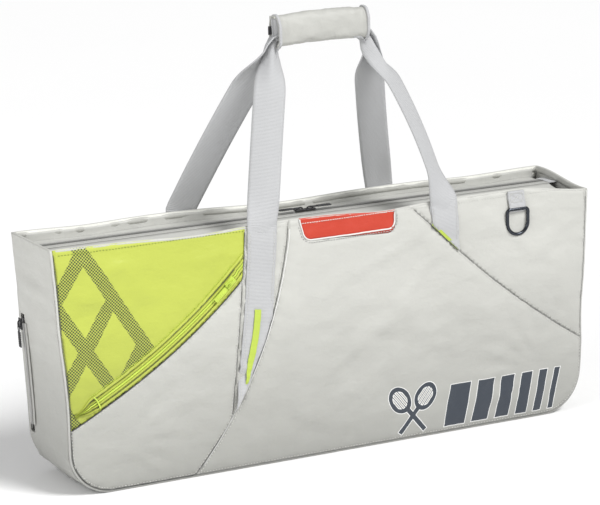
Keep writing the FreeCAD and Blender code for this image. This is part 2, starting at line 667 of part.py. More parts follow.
def make_ring_tab():
    """A short web loop sewn under the rim, with the ring's straight bar in its fold."""
    depth = "(2*ring_tab_wall + 2*pin_clearance + ring_wire)"
    left = "ring_centre - ring_tab_width/2"
    fold = rod(f"{depth}/2", "ring_tab_width", left, RING_PIVOT_Y, RING_PIVOT_HEIGHT, (1, 0, 0))
    layers = box("ring_tab_width", depth, "ring_pivot_drop", left, f"{FRONT} - {depth}",
                 RING_PIVOT_HEIGHT)
    eye = rod("ring_wire/2 + pin_clearance", "2*ring_tab_width", f"{left} - ring_tab_width/2", RING_PIVOT_Y,
              RING_PIVOT_HEIGHT, (1, 0, 0))
    keep("dring_tab", cut(fuse(fold, layers), eye))


def make_ring():
    """A D of round wire: a straight bar closed by a half-round bow."""
    half, drop = value("ring_width/2 - ring_wire/2"), value("ring_drop - ring_width/2 - ring_wire/2")
    left_top, right_top = FreeCAD.Vector(-half, 0, 0), FreeCAD.Vector(half, 0, 0)
    left_low, right_low = FreeCAD.Vector(-half, 0, -drop), FreeCAD.Vector(half, 0, -drop)
    bow = FreeCAD.Vector(0, 0, -drop - half)
    path = Part.Wire([Part.LineSegment(left_top, right_top).toShape(),
                      Part.LineSegment(right_top, right_low).toShape(),
                      Part.Arc(right_low, bow, left_low).toShape(),
                      Part.LineSegment(left_low, left_top).toShape()])
    wire_end = Part.makeCircle(value("ring_wire/2"), FreeCAD.Vector(0, 0, 0), FreeCAD.Vector(1, 0, 0))
    ring = doc.addObject("Part::Feature", "ring")
    ring.Shape = path.makePipeShell([Part.Wire(wire_end)], True, False, 2)
    pivot = [value(text) for text in ("ring_centre", RING_PIVOT_Y, RING_PIVOT_HEIGHT)]
    ring.Placement = FreeCAD.Placement(FreeCAD.Vector(*pivot), FreeCAD.Rotation())
    keep("dring", ring)


def check_parts():
    doc.recompute()
    for thing in doc.Objects:
        if {"Invalid", "Error"} & set(thing.State):
            raise RuntimeError(f"{thing.Label} failed: {thing.State}")
    for label, thing in PARTS.items():
        if thing.Shape.isNull() or not thing.Shape.isValid() or not thing.Shape.Solids:
            raise RuntimeError(f"{label} has no valid solid")


def write_parts():
    os.makedirs("parts", exist_ok=True)
    for label, thing in PARTS.items():
        thing.Shape.exportStep(f"parts/{label}.step")
    print(f"{len(PARTS)} sub-parts written")


def main():
    make_front()
    make_shell()
    make_rim()
    make_anchors()
    make_legs()
    make_accents()
    make_handle()
    make_closure()
    make_pocket_zip()
    make_side_zip()
    make_sliders()
    make_ring_tab()
    make_ring()
    check_parts()
    write_parts()


main()
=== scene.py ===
import json
import math

import bmesh
import bpy
from mathutils import Matrix, Vector, noise
from mathutils.bvhtree import BVHTree
from mathutils.kdtree import KDTree

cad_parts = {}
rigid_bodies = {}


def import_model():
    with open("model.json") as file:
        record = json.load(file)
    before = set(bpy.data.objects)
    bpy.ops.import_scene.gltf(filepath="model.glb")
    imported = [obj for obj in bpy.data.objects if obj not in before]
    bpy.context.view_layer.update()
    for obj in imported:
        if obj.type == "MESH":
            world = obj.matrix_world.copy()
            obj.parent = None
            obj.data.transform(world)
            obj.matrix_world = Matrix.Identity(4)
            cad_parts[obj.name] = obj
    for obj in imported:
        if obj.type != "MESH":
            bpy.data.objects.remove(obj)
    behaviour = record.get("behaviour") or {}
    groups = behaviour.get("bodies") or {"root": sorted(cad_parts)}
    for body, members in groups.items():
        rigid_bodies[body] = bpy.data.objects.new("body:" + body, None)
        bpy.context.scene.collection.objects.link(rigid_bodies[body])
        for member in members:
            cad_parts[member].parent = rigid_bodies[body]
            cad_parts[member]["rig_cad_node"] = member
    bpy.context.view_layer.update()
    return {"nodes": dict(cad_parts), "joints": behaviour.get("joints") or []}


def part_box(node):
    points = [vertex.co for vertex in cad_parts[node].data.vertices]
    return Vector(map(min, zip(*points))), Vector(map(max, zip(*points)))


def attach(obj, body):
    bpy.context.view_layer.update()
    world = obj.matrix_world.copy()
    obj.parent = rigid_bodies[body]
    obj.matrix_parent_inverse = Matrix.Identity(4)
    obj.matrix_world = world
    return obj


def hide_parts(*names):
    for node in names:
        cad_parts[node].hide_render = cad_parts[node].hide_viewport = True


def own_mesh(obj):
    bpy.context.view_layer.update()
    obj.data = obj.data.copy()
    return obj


bl_info = {
    "name": "Racket tournament bag",
    "version": (1, 0, 0),
    "blender": (4, 5, 0),
    "location": "3D View > Sidebar > Racket bag",
    "description": "Dresses the packed bag in cloth, webbing, zips and print",
    "category": "Object",
}

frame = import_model()
MM = 0.001
UP = Vector((0, 0, 1))
OUT_FRONT = Vector((0, -1, 0))
OUT_BACK = Vector((0, 1, 0))

SHELL_LOW, SHELL_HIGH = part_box("back_panel")
FRONT_LOW, FRONT_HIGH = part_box("front_piping")
BACK_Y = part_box("rear_piping")[1].y
FRONT_Y = FRONT_LOW.y
RIM = FRONT_HIGH.z
HALF_LENGTH = FRONT_HIGH.x
BASE_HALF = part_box("base_panel")[1].x
# Folds of the front as start x, start z, end x, end z, width and height, in millimetres.
FRONT_FOLDS = ((150, 248, 20, 120, 11, 3.0), (118, 262, -20, 215, 8, 2.0), (345, 62, 235, 150, 14, 2.4),
               (-40, 280, -80, 150, 9, 2.2), (-300, 40, -190, 120, 16, 2.7), (-330, 110, -270, 190, 9, 1.4),
               (-170, 20, -120, 110, 10, 2.0), (40, 15, 10, 100, 13, 1.9), (300, 240, 350, 150, 12, 2.2),
               (210, 285, 330, 200, 9, 1.6), (-290, 285, -230, 190, 12, 1.6), (-60, 60, 60, 30, 14, 2.0))
CENTRE_SEAM_RADIUS = 0.600
RIGHT_SEAM_RADIUS = 1.118
SIDE_ZIP_Y = 0.048
FLOOR_HALF = 40.0
CAMERA_PLACE = (-1.4495, -2.7855, 0.9613)
# Its yaw, pitch and roll in degrees, and its lens in millimetres.
CAMERA_TURN = (27.24, -12.853, -1.355)
CAMERA_LENS = 153.94
# How far each free strap turns about its own length.
LEG_TWIST = {("front", "left"): -0.40, ("front", "right"): 0.85, ("rear", "left"): 0.10,
             ("rear", "right"): 0.15}
# How far each one bows along the bag, in millimetres.
LEG_BOW = {("front", "left"): -1.5, ("front", "right"): -8.0, ("rear", "left"): -2.0, ("rear", "right"): 1.0}
FRONT_PANELS = ("lime_pocket_panel", "lower_left_panel", "strap_yoke_panel", "centre_panel", "right_panel",
                "red_inset")


# ---------------------------------------------------------------- settings
def colour(name, text, value):
    return bpy.props.FloatVectorProperty(name=name, description=text, subtype="COLOR", size=3, min=0, max=1,
                                         default=value)


def length(name, text, value):
    return bpy.props.FloatProperty(name=name, description=text, subtype="DISTANCE", unit="LENGTH", min=0,
                                   default=value)


class RacketBagCloth(bpy.types.PropertyGroup):
    """Colours and softness of the bag's cloth."""
    shell: colour("Shell", "Outer polyester", (0.552, 0.552, 0.517))
    lime: colour("Lime", "Pocket polyester", (0.486, 0.548, 0.081))
    red: colour("Red", "Inset at the rim", (0.536, 0.044, 0.018))
    lining: colour("Lining", "Inner cloth", (0.530, 0.530, 0.500))
    print_ink: colour("Ink", "Printed mark", (0.036, 0.045, 0.060))
    puff: length("Puff", "How far a panel stands proud between its seams", 2.6 * MM)
    pucker: length("Pucker", "Height of the small gathers along a seam", 3.1 * MM)
    wrinkle: length("Wrinkle", "Height of the slow waves in a panel", 6.2 * MM)
    pitch: length("Mesh pitch", "Spacing of the panel meshes", 5 * MM)
    stitch: length("Stitch", "Distance from one stitch to the next", 4 * MM)


class RacketBagTrim(bpy.types.PropertyGroup):
    """Webbing, thread, zips and metal."""
    webbing: colour("Webbing", "Strap webbing", (0.515, 0.520, 0.528))
    accent: colour("Accent", "Lime tapes", (0.520, 0.660, 0.080))
    thread: colour("Thread", "Topstitching", (0.600, 0.600, 0.570))
    piping: colour("Piping", "Corded edge", (0.600, 0.600, 0.570))
    metal: colour("Metal", "Ring and sliders", (0.050, 0.055, 0.065))
    webbing_thickness: length("Webbing thickness", "Thickness of a strap", 1.8 * MM)
    coil_pitch: length("Coil pitch", "Distance between the zip's teeth", 1.6 * MM)


class RacketBagStage(bpy.types.PropertyGroup):
    """Floor, light and camera."""
    floor: colour("Floor", "Plain pale floor", (0.97, 0.97, 0.97))
    sky: bpy.props.FloatProperty(name="Sky", description="Strength of the even white light", default=0.40,
                                 min=0)
    key: bpy.props.FloatProperty(name="Key light", description="Strength of the broad light from above",
                                 default=2.7, min=0)
    fill: bpy.props.FloatProperty(name="Fill light", description="Power of the side light", subtype="POWER",
                                  unit="POWER", default=22, min=0)


# ---------------------------------------------------------------- small tools
def smooth(low, high, value):
    """0 below low, 1 above high, and a soft step between."""
    share = min(1.0, max(0.0, (value - low) / (high - low)))
    return share * share * (3 - 2 * share)


def bump(value, centre, reach):
    """A soft hump of height 1."""
    share = (value - centre) / reach
    return math.exp(-share * share)


def wave(x, y, z=0.0):
    return noise.noise(Vector((x, y, z)))


def under_side_zip(point):
    """1 where the cloth lies flat under the side zip, fading to 0 around it."""
    if point.x > -0.30:
        return 0.0
    return bump(point.y, SIDE_ZIP_Y, 0.020) * smooth(0.02, 0.06, point.z) * (1 - smooth(0.20, 0.25, point.z))


def settled(point):
    """Where a point of the shell comes to rest: the rim dips between its straps, the long walls belly out."""
    top = smooth(0.190, RIM, point.z)
    front = 1 - smooth(-0.050, 0.050, point.y)
    front_dip = 5 * MM * bump(point.x, -0.185, 0.07) + 5.5 * MM * bump(point.x, 0.075, 0.055)
    front_dip += 11 * MM * smooth(0.270, HALF_LENGTH, point.x)
    back_dip = 4.5 * MM * bump(point.x, -0.01, 0.09) + 2.5 * MM * bump(point.x, 0.26, 0.06)
    back_dip += 2.0 * MM * bump(point.x, -0.28, 0.05)
    drop = front * front_dip + (1 - front) * back_dip
    side = point.y / abs(FRONT_Y)
    tall = math.sin(math.pi * min(1.0, max(0.0, point.z / RIM)) ** 0.8)
    long = max(0.0, math.cos(math.pi * point.x / (2.15 * HALF_LENGTH)))
    belly = 5.0 * MM * tall * long * side
    sway = top * 3.2 * MM * wave(point.x * 9, 3.1 * front, 0.4) * abs(side)
    sway += 1.6 * MM * tall * wave(point.x * 5 + 3, point.z * 7, side * 2) * side
    ends = smooth(0.30, HALF_LENGTH, abs(point.x))
    pinch = ends * tall * (-2.5 * MM + 3.0 * MM * wave(point.z * 13, point.y * 16, point.x * 4))
    pinch *= 1 - under_side_zip(point)
    thin = 0.5 * smooth(RIM - 30 * MM, RIM - 4 * MM, point.z) * smooth(45 * MM, 53 * MM, abs(point.y))
    wall = math.copysign(59.5 * MM, point.y)
    y = point.y + (wall - point.y) * thin
    return Vector((point.x + math.copysign(pinch, point.x) * math.copysign(1, pinch), y + belly + sway,
                   point.z - top * drop))


def soft_folds(point):
    """Long soft folds of the front, each from one place to another, with a width and a height."""
    height = 0.0
    for x0, z0, x1, z1, width, tall in FRONT_FOLDS:
        start, end = Vector((x0, z0)) * MM, Vector((x1, z1)) * MM
        spot = Vector((point.x, point.z))
        run = end - start
        share = (spot - start).dot(run) / run.length_squared
        if -0.2 < share < 1.2:
            bend = 4 * MM * math.sin(share * 4 + x0)
            off = (spot - start).cross(run.normalized()) + bend
            reach = width * MM * (0.7 + 0.6 * share)
            if abs(off) < 3 * reach:
                height += tall * MM * math.exp(-(off / reach) ** 2) * smooth(-0.2, 0.15, share) * (
                    1 - smooth(0.6, 1.2, share))
    return height


def seam_gathers(near, away, seed):
    """Ridges that stand square to the nearest seam and die out from it."""
    ticks = wave(near.x * 120 + seed, near.z * 120, near.y * 120)
    ticks += 0.6 * wave(near.x * 300, near.z * 300, seed)
    strength = 0.55 + 0.9 * max(0.0, wave(near.x * 12, near.z * 12, seed + 4) + 0.3)
    return ticks * strength * math.exp(-away / (14 * MM)) * (1 - math.exp(-away / (1.3 * MM)))


def mesh_object(name, bm):
    """Make an object of a bmesh, with outward faces."""
    for face in bm.faces:
        face.smooth = True
    mesh = bpy.data.meshes.new(name)
    bm.to_mesh(mesh)
    bm.free()
    thing = bpy.data.objects.new(name, mesh)
    bpy.context.scene.collection.objects.link(thing)
    return thing


def finish_piece(thing, body, material, nodes=()):
    """Give a piece its finish, its body, and the CAD nodes that it stands for."""
    thing.data.materials.clear()
    thing.data.materials.append(material)
    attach(thing, body)
    if nodes:
        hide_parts(*nodes)
    return thing


def thicken(thing, thickness, offset=-1.0):
    """Give a sheet its thickness."""
    solid = thing.modifiers.new("thickness", "SOLIDIFY")
    solid.thickness = thickness
    solid.offset = offset
    return thing


def tree_of(*names):
    """A search tree over finished pieces, for laying things on them."""
    joined = bmesh.new()
    for name in names:
        joined.from_mesh(bpy.data.objects[name].data)
    tree = BVHTree.FromBMesh(joined)
    joined.free()
    return tree


class Surface:
    """A face of the bag that things are laid on, looked at along one direction."""

    def __init__(self, names, outward):
        self.tree = tree_of(*names)
        self.outward = Vector(outward)

    def at(self, point, lift=0.0):
        """The surface point behind a flat point, lifted off the cloth, and the way out of it."""
        start = point + self.outward * 0.2
        hit, normal, _, _ = self.tree.ray_cast(start, -self.outward)
        if hit is None:
            hit, normal = settled(point), self.outward
        if normal.dot(self.outward) < 0:
            normal = -normal
        normal = (normal + self.outward * 2).normalized()
        return hit + normal * lift, normal

    def nearest(self, point, lift=0.0):
        """The same for the place where a flat point comes to rest, however the face leans there."""
        hit, normal, _, _ = self.tree.find_nearest(settled(point) + self.outward * 4 * MM)
        if normal.dot(self.outward) < 0:
            normal = -normal
        normal = (normal + self.outward * 2).normalized()
        return hit + normal * lift, normal


def front_point(x, z):
    return Vector((x, FRONT_Y, z))


def along(points, step):
    """Evenly spaced points along a run of straight pieces."""
    spots, spare = [points[0]], 0.0
    for start, end in zip(points, points[1:]):
        run = (end - start).length
        position = step - spare
        while position <= run:
            spots.append(start.lerp(end, position / run))
            position += step
        spare = (spare + run) % step if run else spare
    return spots


def arc_points(start, end, radius, bow, count):
    """Points on an arc in the XZ plane; bow is the way that its middle leans."""
    chord = end - start
    half = chord.length / 2
    angle = math.asin(half / radius)
    middle = (start + end) / 2 - bow * math.sqrt(radius ** 2 - half ** 2)
    first = (start - middle)
    axis = first.cross(end - middle).normalized()
    return [middle + Matrix.Rotation(2 * angle * i / count, 3, axis) @ first for i in range(count + 1)]


def stations(points, normals):
    """Frames along a path: each is a point, the way across and the way out."""
    frames = []
    for index, point in enumerate(points):
        ahead = points[min(index + 1, len(points) - 1)]
        behind = points[max(index - 1, 0)]
        tangent = (ahead - behind).normalized()
        normal = normals[index]
        across = tangent.cross(normal).normalized()
        frames.append((point, across, across.cross(tangent).normalized()))
    return frames


def flat_section(width, thickness, cells=8, cup=0.0):
    """A strap's section: flat, with round selvedges, and a little cupped."""
    radius = thickness / 2
    half = width / 2 - radius
    points = []
    for side in (1, -1):
        for index in range(cells + 1):
            share = 1 - 2 * index / cells
            across = side * half * share
            points.append((across, side * radius + cup * (share * share - 0.33)))
        tip = -side * (half + radius * 0.8)
        points.append((tip, cup * 0.67))
    return points


def round_section(radius, count=10):
    return [(radius * math.cos(math.tau * i / count), radius * math.sin(math.tau * i / count))
            for i in range(count)]


def sweep_into(bm, path, section, ring=False, capped=True):
    """Carry a closed section along a path of frames, with a map in metres: across, then along."""
    shape = section if callable(section) else (lambda index: section)
    cells = len(shape(0))
    rows = len(path) - (0 if ring else 1)
    made = bmesh.ops.create_grid(bm, x_segments=cells, y_segments=rows, size=0.5)["verts"]
    uv = bm.loops.layers.uv.verify()
    girth, run = [0.0], [0.0]
    for index in range(cells):
        first, second = Vector(shape(0)[index]), Vector(shape(0)[(index + 1) % cells])
        girth.append(girth[-1] + (second - first).length)
    for index in range(rows):
        run.append(run[-1] + (path[(index + 1) % len(path)][0] - path[index][0]).length)
    faces = {face for vert in made for face in vert.link_faces}
    for face in faces:
        for loop in face.loops:
            column = round((loop.vert.co.x + 0.5) * cells)
            row = round((loop.vert.co.y + 0.5) * rows)
            loop[uv].uv = (girth[column], run[row])
    for vert in made:
        column = round((vert.co.x + 0.5) * cells)
        row = round((vert.co.y + 0.5) * rows) % len(path)
        across, out = shape(row)[column % cells]
        point, side, up = path[row]
        vert.co = point + side * across + up * out
    edges = {edge for face in faces for edge in face.edges}
    bmesh.ops.remove_doubles(bm, verts=made, dist=1e-7)
    if capped and not ring:
        open_edges = [edge for edge in bm.edges if edge.is_valid and edge.is_boundary]
        bmesh.ops.holes_fill(bm, edges=open_edges, sides=0)
    bmesh.ops.recalc_face_normals(bm, faces=bm.faces)
    return edges


def sweep(name, path, section, ring=False, capped=True):
    """Carry a section along a path, as an object of its own."""
    bm = bmesh.new()
    sweep_into(bm, path, section, ring, capped)
    return mesh_object(name, bm)


# ---------------------------------------------------------------- finishes
class Finish:
    """A material and its node tree, built by short calls."""

    def __init__(self, name, base, roughness, sheen=0.0, metallic=0.0):
        self.material = bpy.data.materials.new(name)
        self.material.use_nodes = True
        self.tree = self.material.node_tree
        self.shader = self.tree.nodes["Principled BSDF"]
        self.shader.inputs["Roughness"].default_value = roughness
        self.shader.inputs["Metallic"].default_value = metallic
        self.shader.inputs["Sheen Weight"].default_value = sheen
        self.shader.inputs["Sheen Roughness"].default_value = 0.4
        self.shader.inputs["Base Color"].default_value = (*base, 1)
        self.base = base
        self.place = self.tree.nodes.new("ShaderNodeTexCoord")

    def put(self, socket, value):
        if isinstance(value, bpy.types.NodeSocket):
            self.tree.links.new(value, socket)
        else:
            socket.default_value = value

    def math(self, operation, first, second=0.0):
        node = self.tree.nodes.new("ShaderNodeMath")
        node.operation = operation
        self.put(node.inputs[0], first)
        self.put(node.inputs[1], second)
        return node.outputs[0]

    def parts(self, source):
        node = self.tree.nodes.new("ShaderNodeSeparateXYZ")
        self.put(node.inputs[0], self.place.outputs[source])
        return node.outputs

    def noise(self, source, scale, detail=3.0, stretch=(1, 1, 1)):
        mapping = self.tree.nodes.new("ShaderNodeMapping")
        self.put(mapping.inputs["Vector"], self.place.outputs[source])
        mapping.inputs["Scale"].default_value = stretch
        node = self.tree.nodes.new("ShaderNodeTexNoise")
        self.put(node.inputs["Vector"], mapping.outputs[0])
        node.inputs["Scale"].default_value = scale
        node.inputs["Detail"].default_value = detail
        return node.outputs["Fac"]

    def mix(self, share, first, second):
        node = self.tree.nodes.new("ShaderNodeMix")
        node.data_type = "RGBA"
        self.put(node.inputs[0], share)
        for socket, value in ((node.inputs[6], first), (node.inputs[7], second)):
            self.put(socket, value if isinstance(value, bpy.types.NodeSocket) else (*value, 1))
        return node.outputs[2]

    def spread(self, value, low, high, first, second):
        node = self.tree.nodes.new("ShaderNodeMapRange")
        self.put(node.inputs["Value"], value)
        for key, number in zip(("From Min", "From Max", "To Min", "To Max"), (low, high, first, second)):
            node.inputs[key].default_value = number
        return node.outputs[0]

    def bumps(self, *layers):
        """Stack bump layers, each a height, a distance in metres and a strength."""
        below = None
        for height, distance, strength in layers:
            node = self.tree.nodes.new("ShaderNodeBump")
            node.inputs["Distance"].default_value = distance
            node.inputs["Strength"].default_value = strength
            self.put(node.inputs["Height"], height)
            if below:
                self.put(node.inputs["Normal"], below)
            below = node.outputs[0]
        self.put(self.shader.inputs["Normal"], below)

    def vary(self, amount, scale=7.0):
        """Slow change of tone over the piece."""
        dark = tuple(c * (1 - amount) for c in self.base)
        pale = tuple(min(1.0, c * (1 + amount * 0.6)) for c in self.base)
        tone = self.spread(self.noise("Object", scale, 4), 0.3, 0.7, 0, 1)
        return self.mix(tone, dark, pale)


def weave(finish, pitch):
    """Height of a plain weave in the piece's own map."""
    u, v, _ = finish.parts("UV")
    turn = math.tau / pitch
    warp = finish.math("SINE", finish.math("MULTIPLY", u, turn))
    weft = finish.math("SINE", finish.math("MULTIPLY", v, turn))
    return finish.math("MULTIPLY", warp, weft)


def polyester(name, base, roughness=0.50, creases=0.60):
    """Closely woven, lightly coated polyester with small creases, and painted shade that darkens it towards
    the floor.
    """
    finish = Finish(name, base, roughness, sheen=0.05)
    crease = finish.noise("Object", 26, 5, (1.0, 1.0, 1.6))
    grain = finish.noise("UV", 900, 2)
    finish.bumps((crease, 5.0 * MM, creases), (grain, 0.15 * MM, 0.22),
                 (weave(finish, 1.1 * MM), 0.12 * MM, 0.30))
    tone = finish.vary(0.045)
    thread = finish.spread(grain, 0.25, 0.75, 0.97, 1.02)
    # Painted shade: darker towards the floor, from full tone at 0.21 m down to 0.60 at the base, where the
    # bag is shaded.
    thread = finish.math("MULTIPLY", thread, finish.spread(finish.parts("Object")[2], 0.0, 0.21, 0.60, 1.0))
    node = finish.tree.nodes.new("ShaderNodeVectorMath")
    node.operation = "SCALE"
    finish.put(node.inputs[0], tone)
    finish.put(node.inputs["Scale"], thread)
    finish.put(finish.shader.inputs["Base Color"], node.outputs[0])
    rough = finish.spread(crease, 0.3, 0.7, roughness - 0.06, roughness + 0.08)
    finish.put(finish.shader.inputs["Roughness"], rough)
    return finish


def printed_shell(name, base, ink, edge):
    """Shell cloth with a generic mark: two crossed rackets and a run of leaning bars of falling width."""
    finish = polyester(name, base)
    x, _, z = finish.parts("Object")

    def reach(value, centre, half):
        return finish.math("SUBTRACT", finish.math("ABSOLUTE", finish.math("SUBTRACT", value, centre)), half)

    leaned = finish.math("SUBTRACT", x, finish.math("MULTIPLY", z, 0.20))
    left, bars = 0.149, None
    for width in (30, 24, 20, 16, 12, 8):
        bar = reach(leaned, left + width * MM / 2, width * MM / 2)
        bars = finish.math("MINIMUM", bars, bar) if bars else bar
        left += (width + 11) * MM
    shape = finish.math("MAXIMUM", bars, reach(z, 0.037, 27 * MM))
    for side in (-1, 1):
        lean = side * math.radians(40)
        u = finish.math("SUBTRACT", x, 0.105 + side * 19 * MM)
        v = finish.math("SUBTRACT", z, 0.055)
        across = finish.math("SUBTRACT", finish.math("MULTIPLY", u, math.cos(lean)),
                             finish.math("MULTIPLY", v, math.sin(lean)))
        up = finish.math("ADD", finish.math("MULTIPLY", u, math.sin(lean)),
                         finish.math("MULTIPLY", v, math.cos(lean)))
        round_x, round_y = finish.math("DIVIDE", across, 12.5), finish.math("DIVIDE", up, 16.0)
        far = finish.math("SQRT", finish.math("ADD", finish.math("MULTIPLY", round_x, round_x),
                                              finish.math("MULTIPLY", round_y, round_y)))
        rim = finish.math("MULTIPLY", reach(far, MM, 0.19 * MM), 14.0)
        shaft = finish.math("MAXIMUM", reach(across, 0.0, 3.0 * MM), reach(up, -37 * MM, 21 * MM))
        strings = finish.math("SUBTRACT", finish.math("PINGPONG", across, 2.4 * MM), 0.55 * MM)
        beyond = finish.math("MULTIPLY", finish.math("SUBTRACT", far, MM), 14.0)
        strings = finish.math("MAXIMUM", strings, beyond)
        for piece in (rim, shaft, strings):
            shape = finish.math("MINIMUM", shape, piece)
    outline = finish.math("LESS_THAN", shape, 0.9 * MM)
    solid = finish.math("LESS_THAN", shape, 0.0)
    cloth = finish.shader.inputs["Base Color"].links[0].from_socket
    finish.put(finish.shader.inputs["Base Color"], finish.mix(solid, finish.mix(outline, cloth, edge), ink))
    return finish


def printed_lime(name, base, ink):
    """Lime polyester with a lattice of halftone bands that fades along the panel."""
    finish = polyester(name, base, 0.50)
    x, _, z = finish.parts("Object")
    lean, band_pitch, band_width, dot_pitch = 0.62, 74 * MM, 0.27, 3.9 * MM
    bands = []
    for sign in (1, -1):
        slant = finish.math("ADD", x, finish.math("MULTIPLY", z, sign * lean))
        phase = finish.math("FRACT", finish.math("ADD", finish.math("DIVIDE", slant, band_pitch), 10.18))
        bands.append(finish.math("LESS_THAN", phase, band_width))
    lattice = finish.math("MAXIMUM", *bands)
    squares = []
    for sign in (1, -1):
        diagonal = finish.math("ADD", x, finish.math("MULTIPLY", z, sign))
        cell = finish.math("FRACT", finish.math("ADD", finish.math("DIVIDE", diagonal, dot_pitch), 500.0))
        offset = finish.math("SUBTRACT", cell, 0.5)
        squares.append(finish.math("MULTIPLY", offset, offset))
    reach = finish.math("SQRT", finish.math("ADD", *squares))
    edge = finish.math("LESS_THAN", finish.math("ADD", x, finish.math("MULTIPLY", z, lean)), -0.1413)
    dots = finish.math("LESS_THAN", reach, 0.42)
    share = finish.math("MULTIPLY", finish.math("MULTIPLY", dots, lattice),
                        finish.math("MULTIPLY", edge, 0.94))
    cloth = finish.shader.inputs["Base Color"].links[0].from_socket
    finish.put(finish.shader.inputs["Base Color"], finish.mix(share, cloth, ink))
    return finish


def webbing_finish(name, base, rib=1.7 * MM):
    """Flat web: ribs across it, a fine herringbone, and painted shade in the valleys between the ribs."""
    finish = Finish(name, base, 0.62, sheen=0.25)
    u, v, _ = finish.parts("UV")
    ribs = finish.math("SINE", finish.math("MULTIPLY", v, math.tau / rib))
    zigzag = finish.math("PINGPONG", u, 3.0 * MM)
    skew = finish.math("ADD", finish.math("MULTIPLY", v, 1.0), zigzag)
    yarn = finish.math("SINE", finish.math("MULTIPLY", skew, math.tau / (1.0 * MM)))
    finish.bumps((finish.noise("Object", 60, 3), 0.6 * MM, 0.25), (ribs, 0.25 * MM, 0.5),
                 (yarn, 0.1 * MM, 0.35))
    # Painted shade: the valleys between the ribs are darkened to 0.86 of the web's colour.
    dark = tuple(c * 0.86 for c in base)
    tone = finish.mix(finish.spread(ribs, -1, 0.4, 0, 1), dark, base)
    finish.put(finish.shader.inputs["Base Color"], tone)
    return finish


def plain_finish(name, base, roughness, metallic=0.0, grain=400.0, height=0.05 * MM, sheen=0.0):
    """Moulded, painted or plated surface with a fine grain and small changes of gloss."""
    finish = Finish(name, base, roughness, sheen, metallic)
    fine = finish.noise("Object", grain, 4)
    finish.bumps((fine, height, 0.35))
    finish.put(finish.shader.inputs["Base Color"], finish.vary(0.08, 60))
    gloss = finish.spread(finish.noise("Object", 120, 3), 0.3, 0.7, roughness * 0.85, min(1, roughness * 1.2))
    finish.put(finish.shader.inputs["Roughness"], gloss)
    return finish


FINISHES = {}


def finish_named(name):
    """The material of that name, made when it is first asked for."""
    if name in FINISHES:
        return FINISHES[name].material
    cloth = bpy.context.scene.racket_bag_cloth
    trim = bpy.context.scene.racket_bag_trim
    makers = {
        "shell_cloth": lambda: polyester(name, tuple(cloth.shell)),
        "wrap_cloth": lambda: polyester(name, tuple(0.88 * c for c in cloth.shell)),
        "marked_cloth": lambda: printed_shell(name, tuple(cloth.shell), tuple(cloth.print_ink),
                                              (0.80, 0.80, 0.79)),
        "lime_cloth": lambda: printed_lime(name, tuple(cloth.lime), (0.035, 0.045, 0.020)),
        "lime_plain": lambda: polyester(name, tuple(cloth.lime), 0.50),
        "red_cloth": lambda: polyester(name, tuple(cloth.red), 0.48),
        "lining_cloth": lambda: polyester(name, tuple(cloth.lining), 0.5, 0.5),
        "strap_web": lambda: webbing_finish(name, tuple(trim.webbing)),
        "lime_web": lambda: webbing_finish(name, tuple(trim.accent), 1.2 * MM),
        "zip_web": lambda: webbing_finish(name, tuple(cloth.lining), 0.9 * MM),
        "piping_cloth": lambda: polyester(name, tuple(trim.piping), 0.6, 0.2),
        "thread": lambda: plain_finish(name, tuple(trim.thread), 0.55, 0, 3000, 0.05 * MM, 0.3),
        "red_thread": lambda: plain_finish(name, (0.86, 0.70, 0.66), 0.55, 0, 3000, 0.05 * MM, 0.3),
        # Lime darkened for the pocket zip's tape: the tape's own colour, darkened as painted shade for the
        # dark lines between the pocket's lips.
        "lime_tape_and_lip_shade": lambda: polyester(name, tuple(c * 0.42 for c in cloth.lime), 0.6),
        "seam_shadow": lambda: plain_finish(name, (0.075, 0.078, 0.080), 0.9, 0, 800),
        "olive_thread": lambda: plain_finish(name, (0.19, 0.25, 0.03), 0.6, 0, 3000, 0.05 * MM, 0.2),
        # Grey thread for the inset's edge stitching, and for short ticks that are painted shadows of the
        # right edge's puckers.
        "grey_thread_and_pucker_shade": lambda: plain_finish(name, (0.30, 0.30, 0.29), 0.6, 0, 3000, 0.05 * MM, 0.2),
        "lime_thread": lambda: plain_finish(name, tuple(trim.accent), 0.55, 0, 3000, 0.05 * MM, 0.3),
        # Grey cord for the lighter seams: a painted shadow line in the seam's gap.
        "seam_shade_grey": lambda: plain_finish(name, (0.27, 0.27, 0.26), 0.9, 0, 800),
        # Pale cloth for the inset's cord and the centre seam's fold; on the fold the paleness is a painted
        # highlight.
        "pale_cord_and_fold_highlight": lambda: polyester(name, (0.76, 0.76, 0.74), 0.5, 0.15),
        "plated": lambda: plain_finish(name, tuple(trim.metal), 0.26, 0.9, 200, 0.02 * MM),
        "black_enamel": lambda: plain_finish(name, (0.016, 0.016, 0.018), 0.35, 0.2, 200),
        "black_moulding": lambda: plain_finish(name, (0.022, 0.022, 0.024), 0.5, 0, 900),
        "lime_moulding": lambda: plain_finish(name, tuple(trim.accent), 0.42, 0, 900),
        "grey_coil": lambda: plain_finish(name, (0.33, 0.33, 0.32), 0.4, 0, 900),
        "hook_tape": lambda: plain_finish(name, (0.03, 0.03, 0.033), 0.9, 0, 1500, 0.5 * MM, 0.4),
        "board": lambda: plain_finish(name, (0.07, 0.07, 0.075), 0.5, 0, 500),
        "foam": lambda: plain_finish(name, (0.80, 0.80, 0.74), 0.85, 0, 1200, 0.3 * MM, 0.3),
    }
    FINISHES[name] = makers[name]()
    return FINISHES[name].material


# ---------------------------------------------------------------- sewn panels
def outside_front(normal):
    return normal.y < -0.5


def outside_back(normal):
    return normal.y > 0.5


def outside_left(normal):
    return abs(normal.y) < 0.5 and normal.x + normal.z < -0.2


def outside_right(normal):
    return abs(normal.y) < 0.5 and normal.x - normal.z > 0.2


def outside_base(normal):
    return normal.z < -0.5


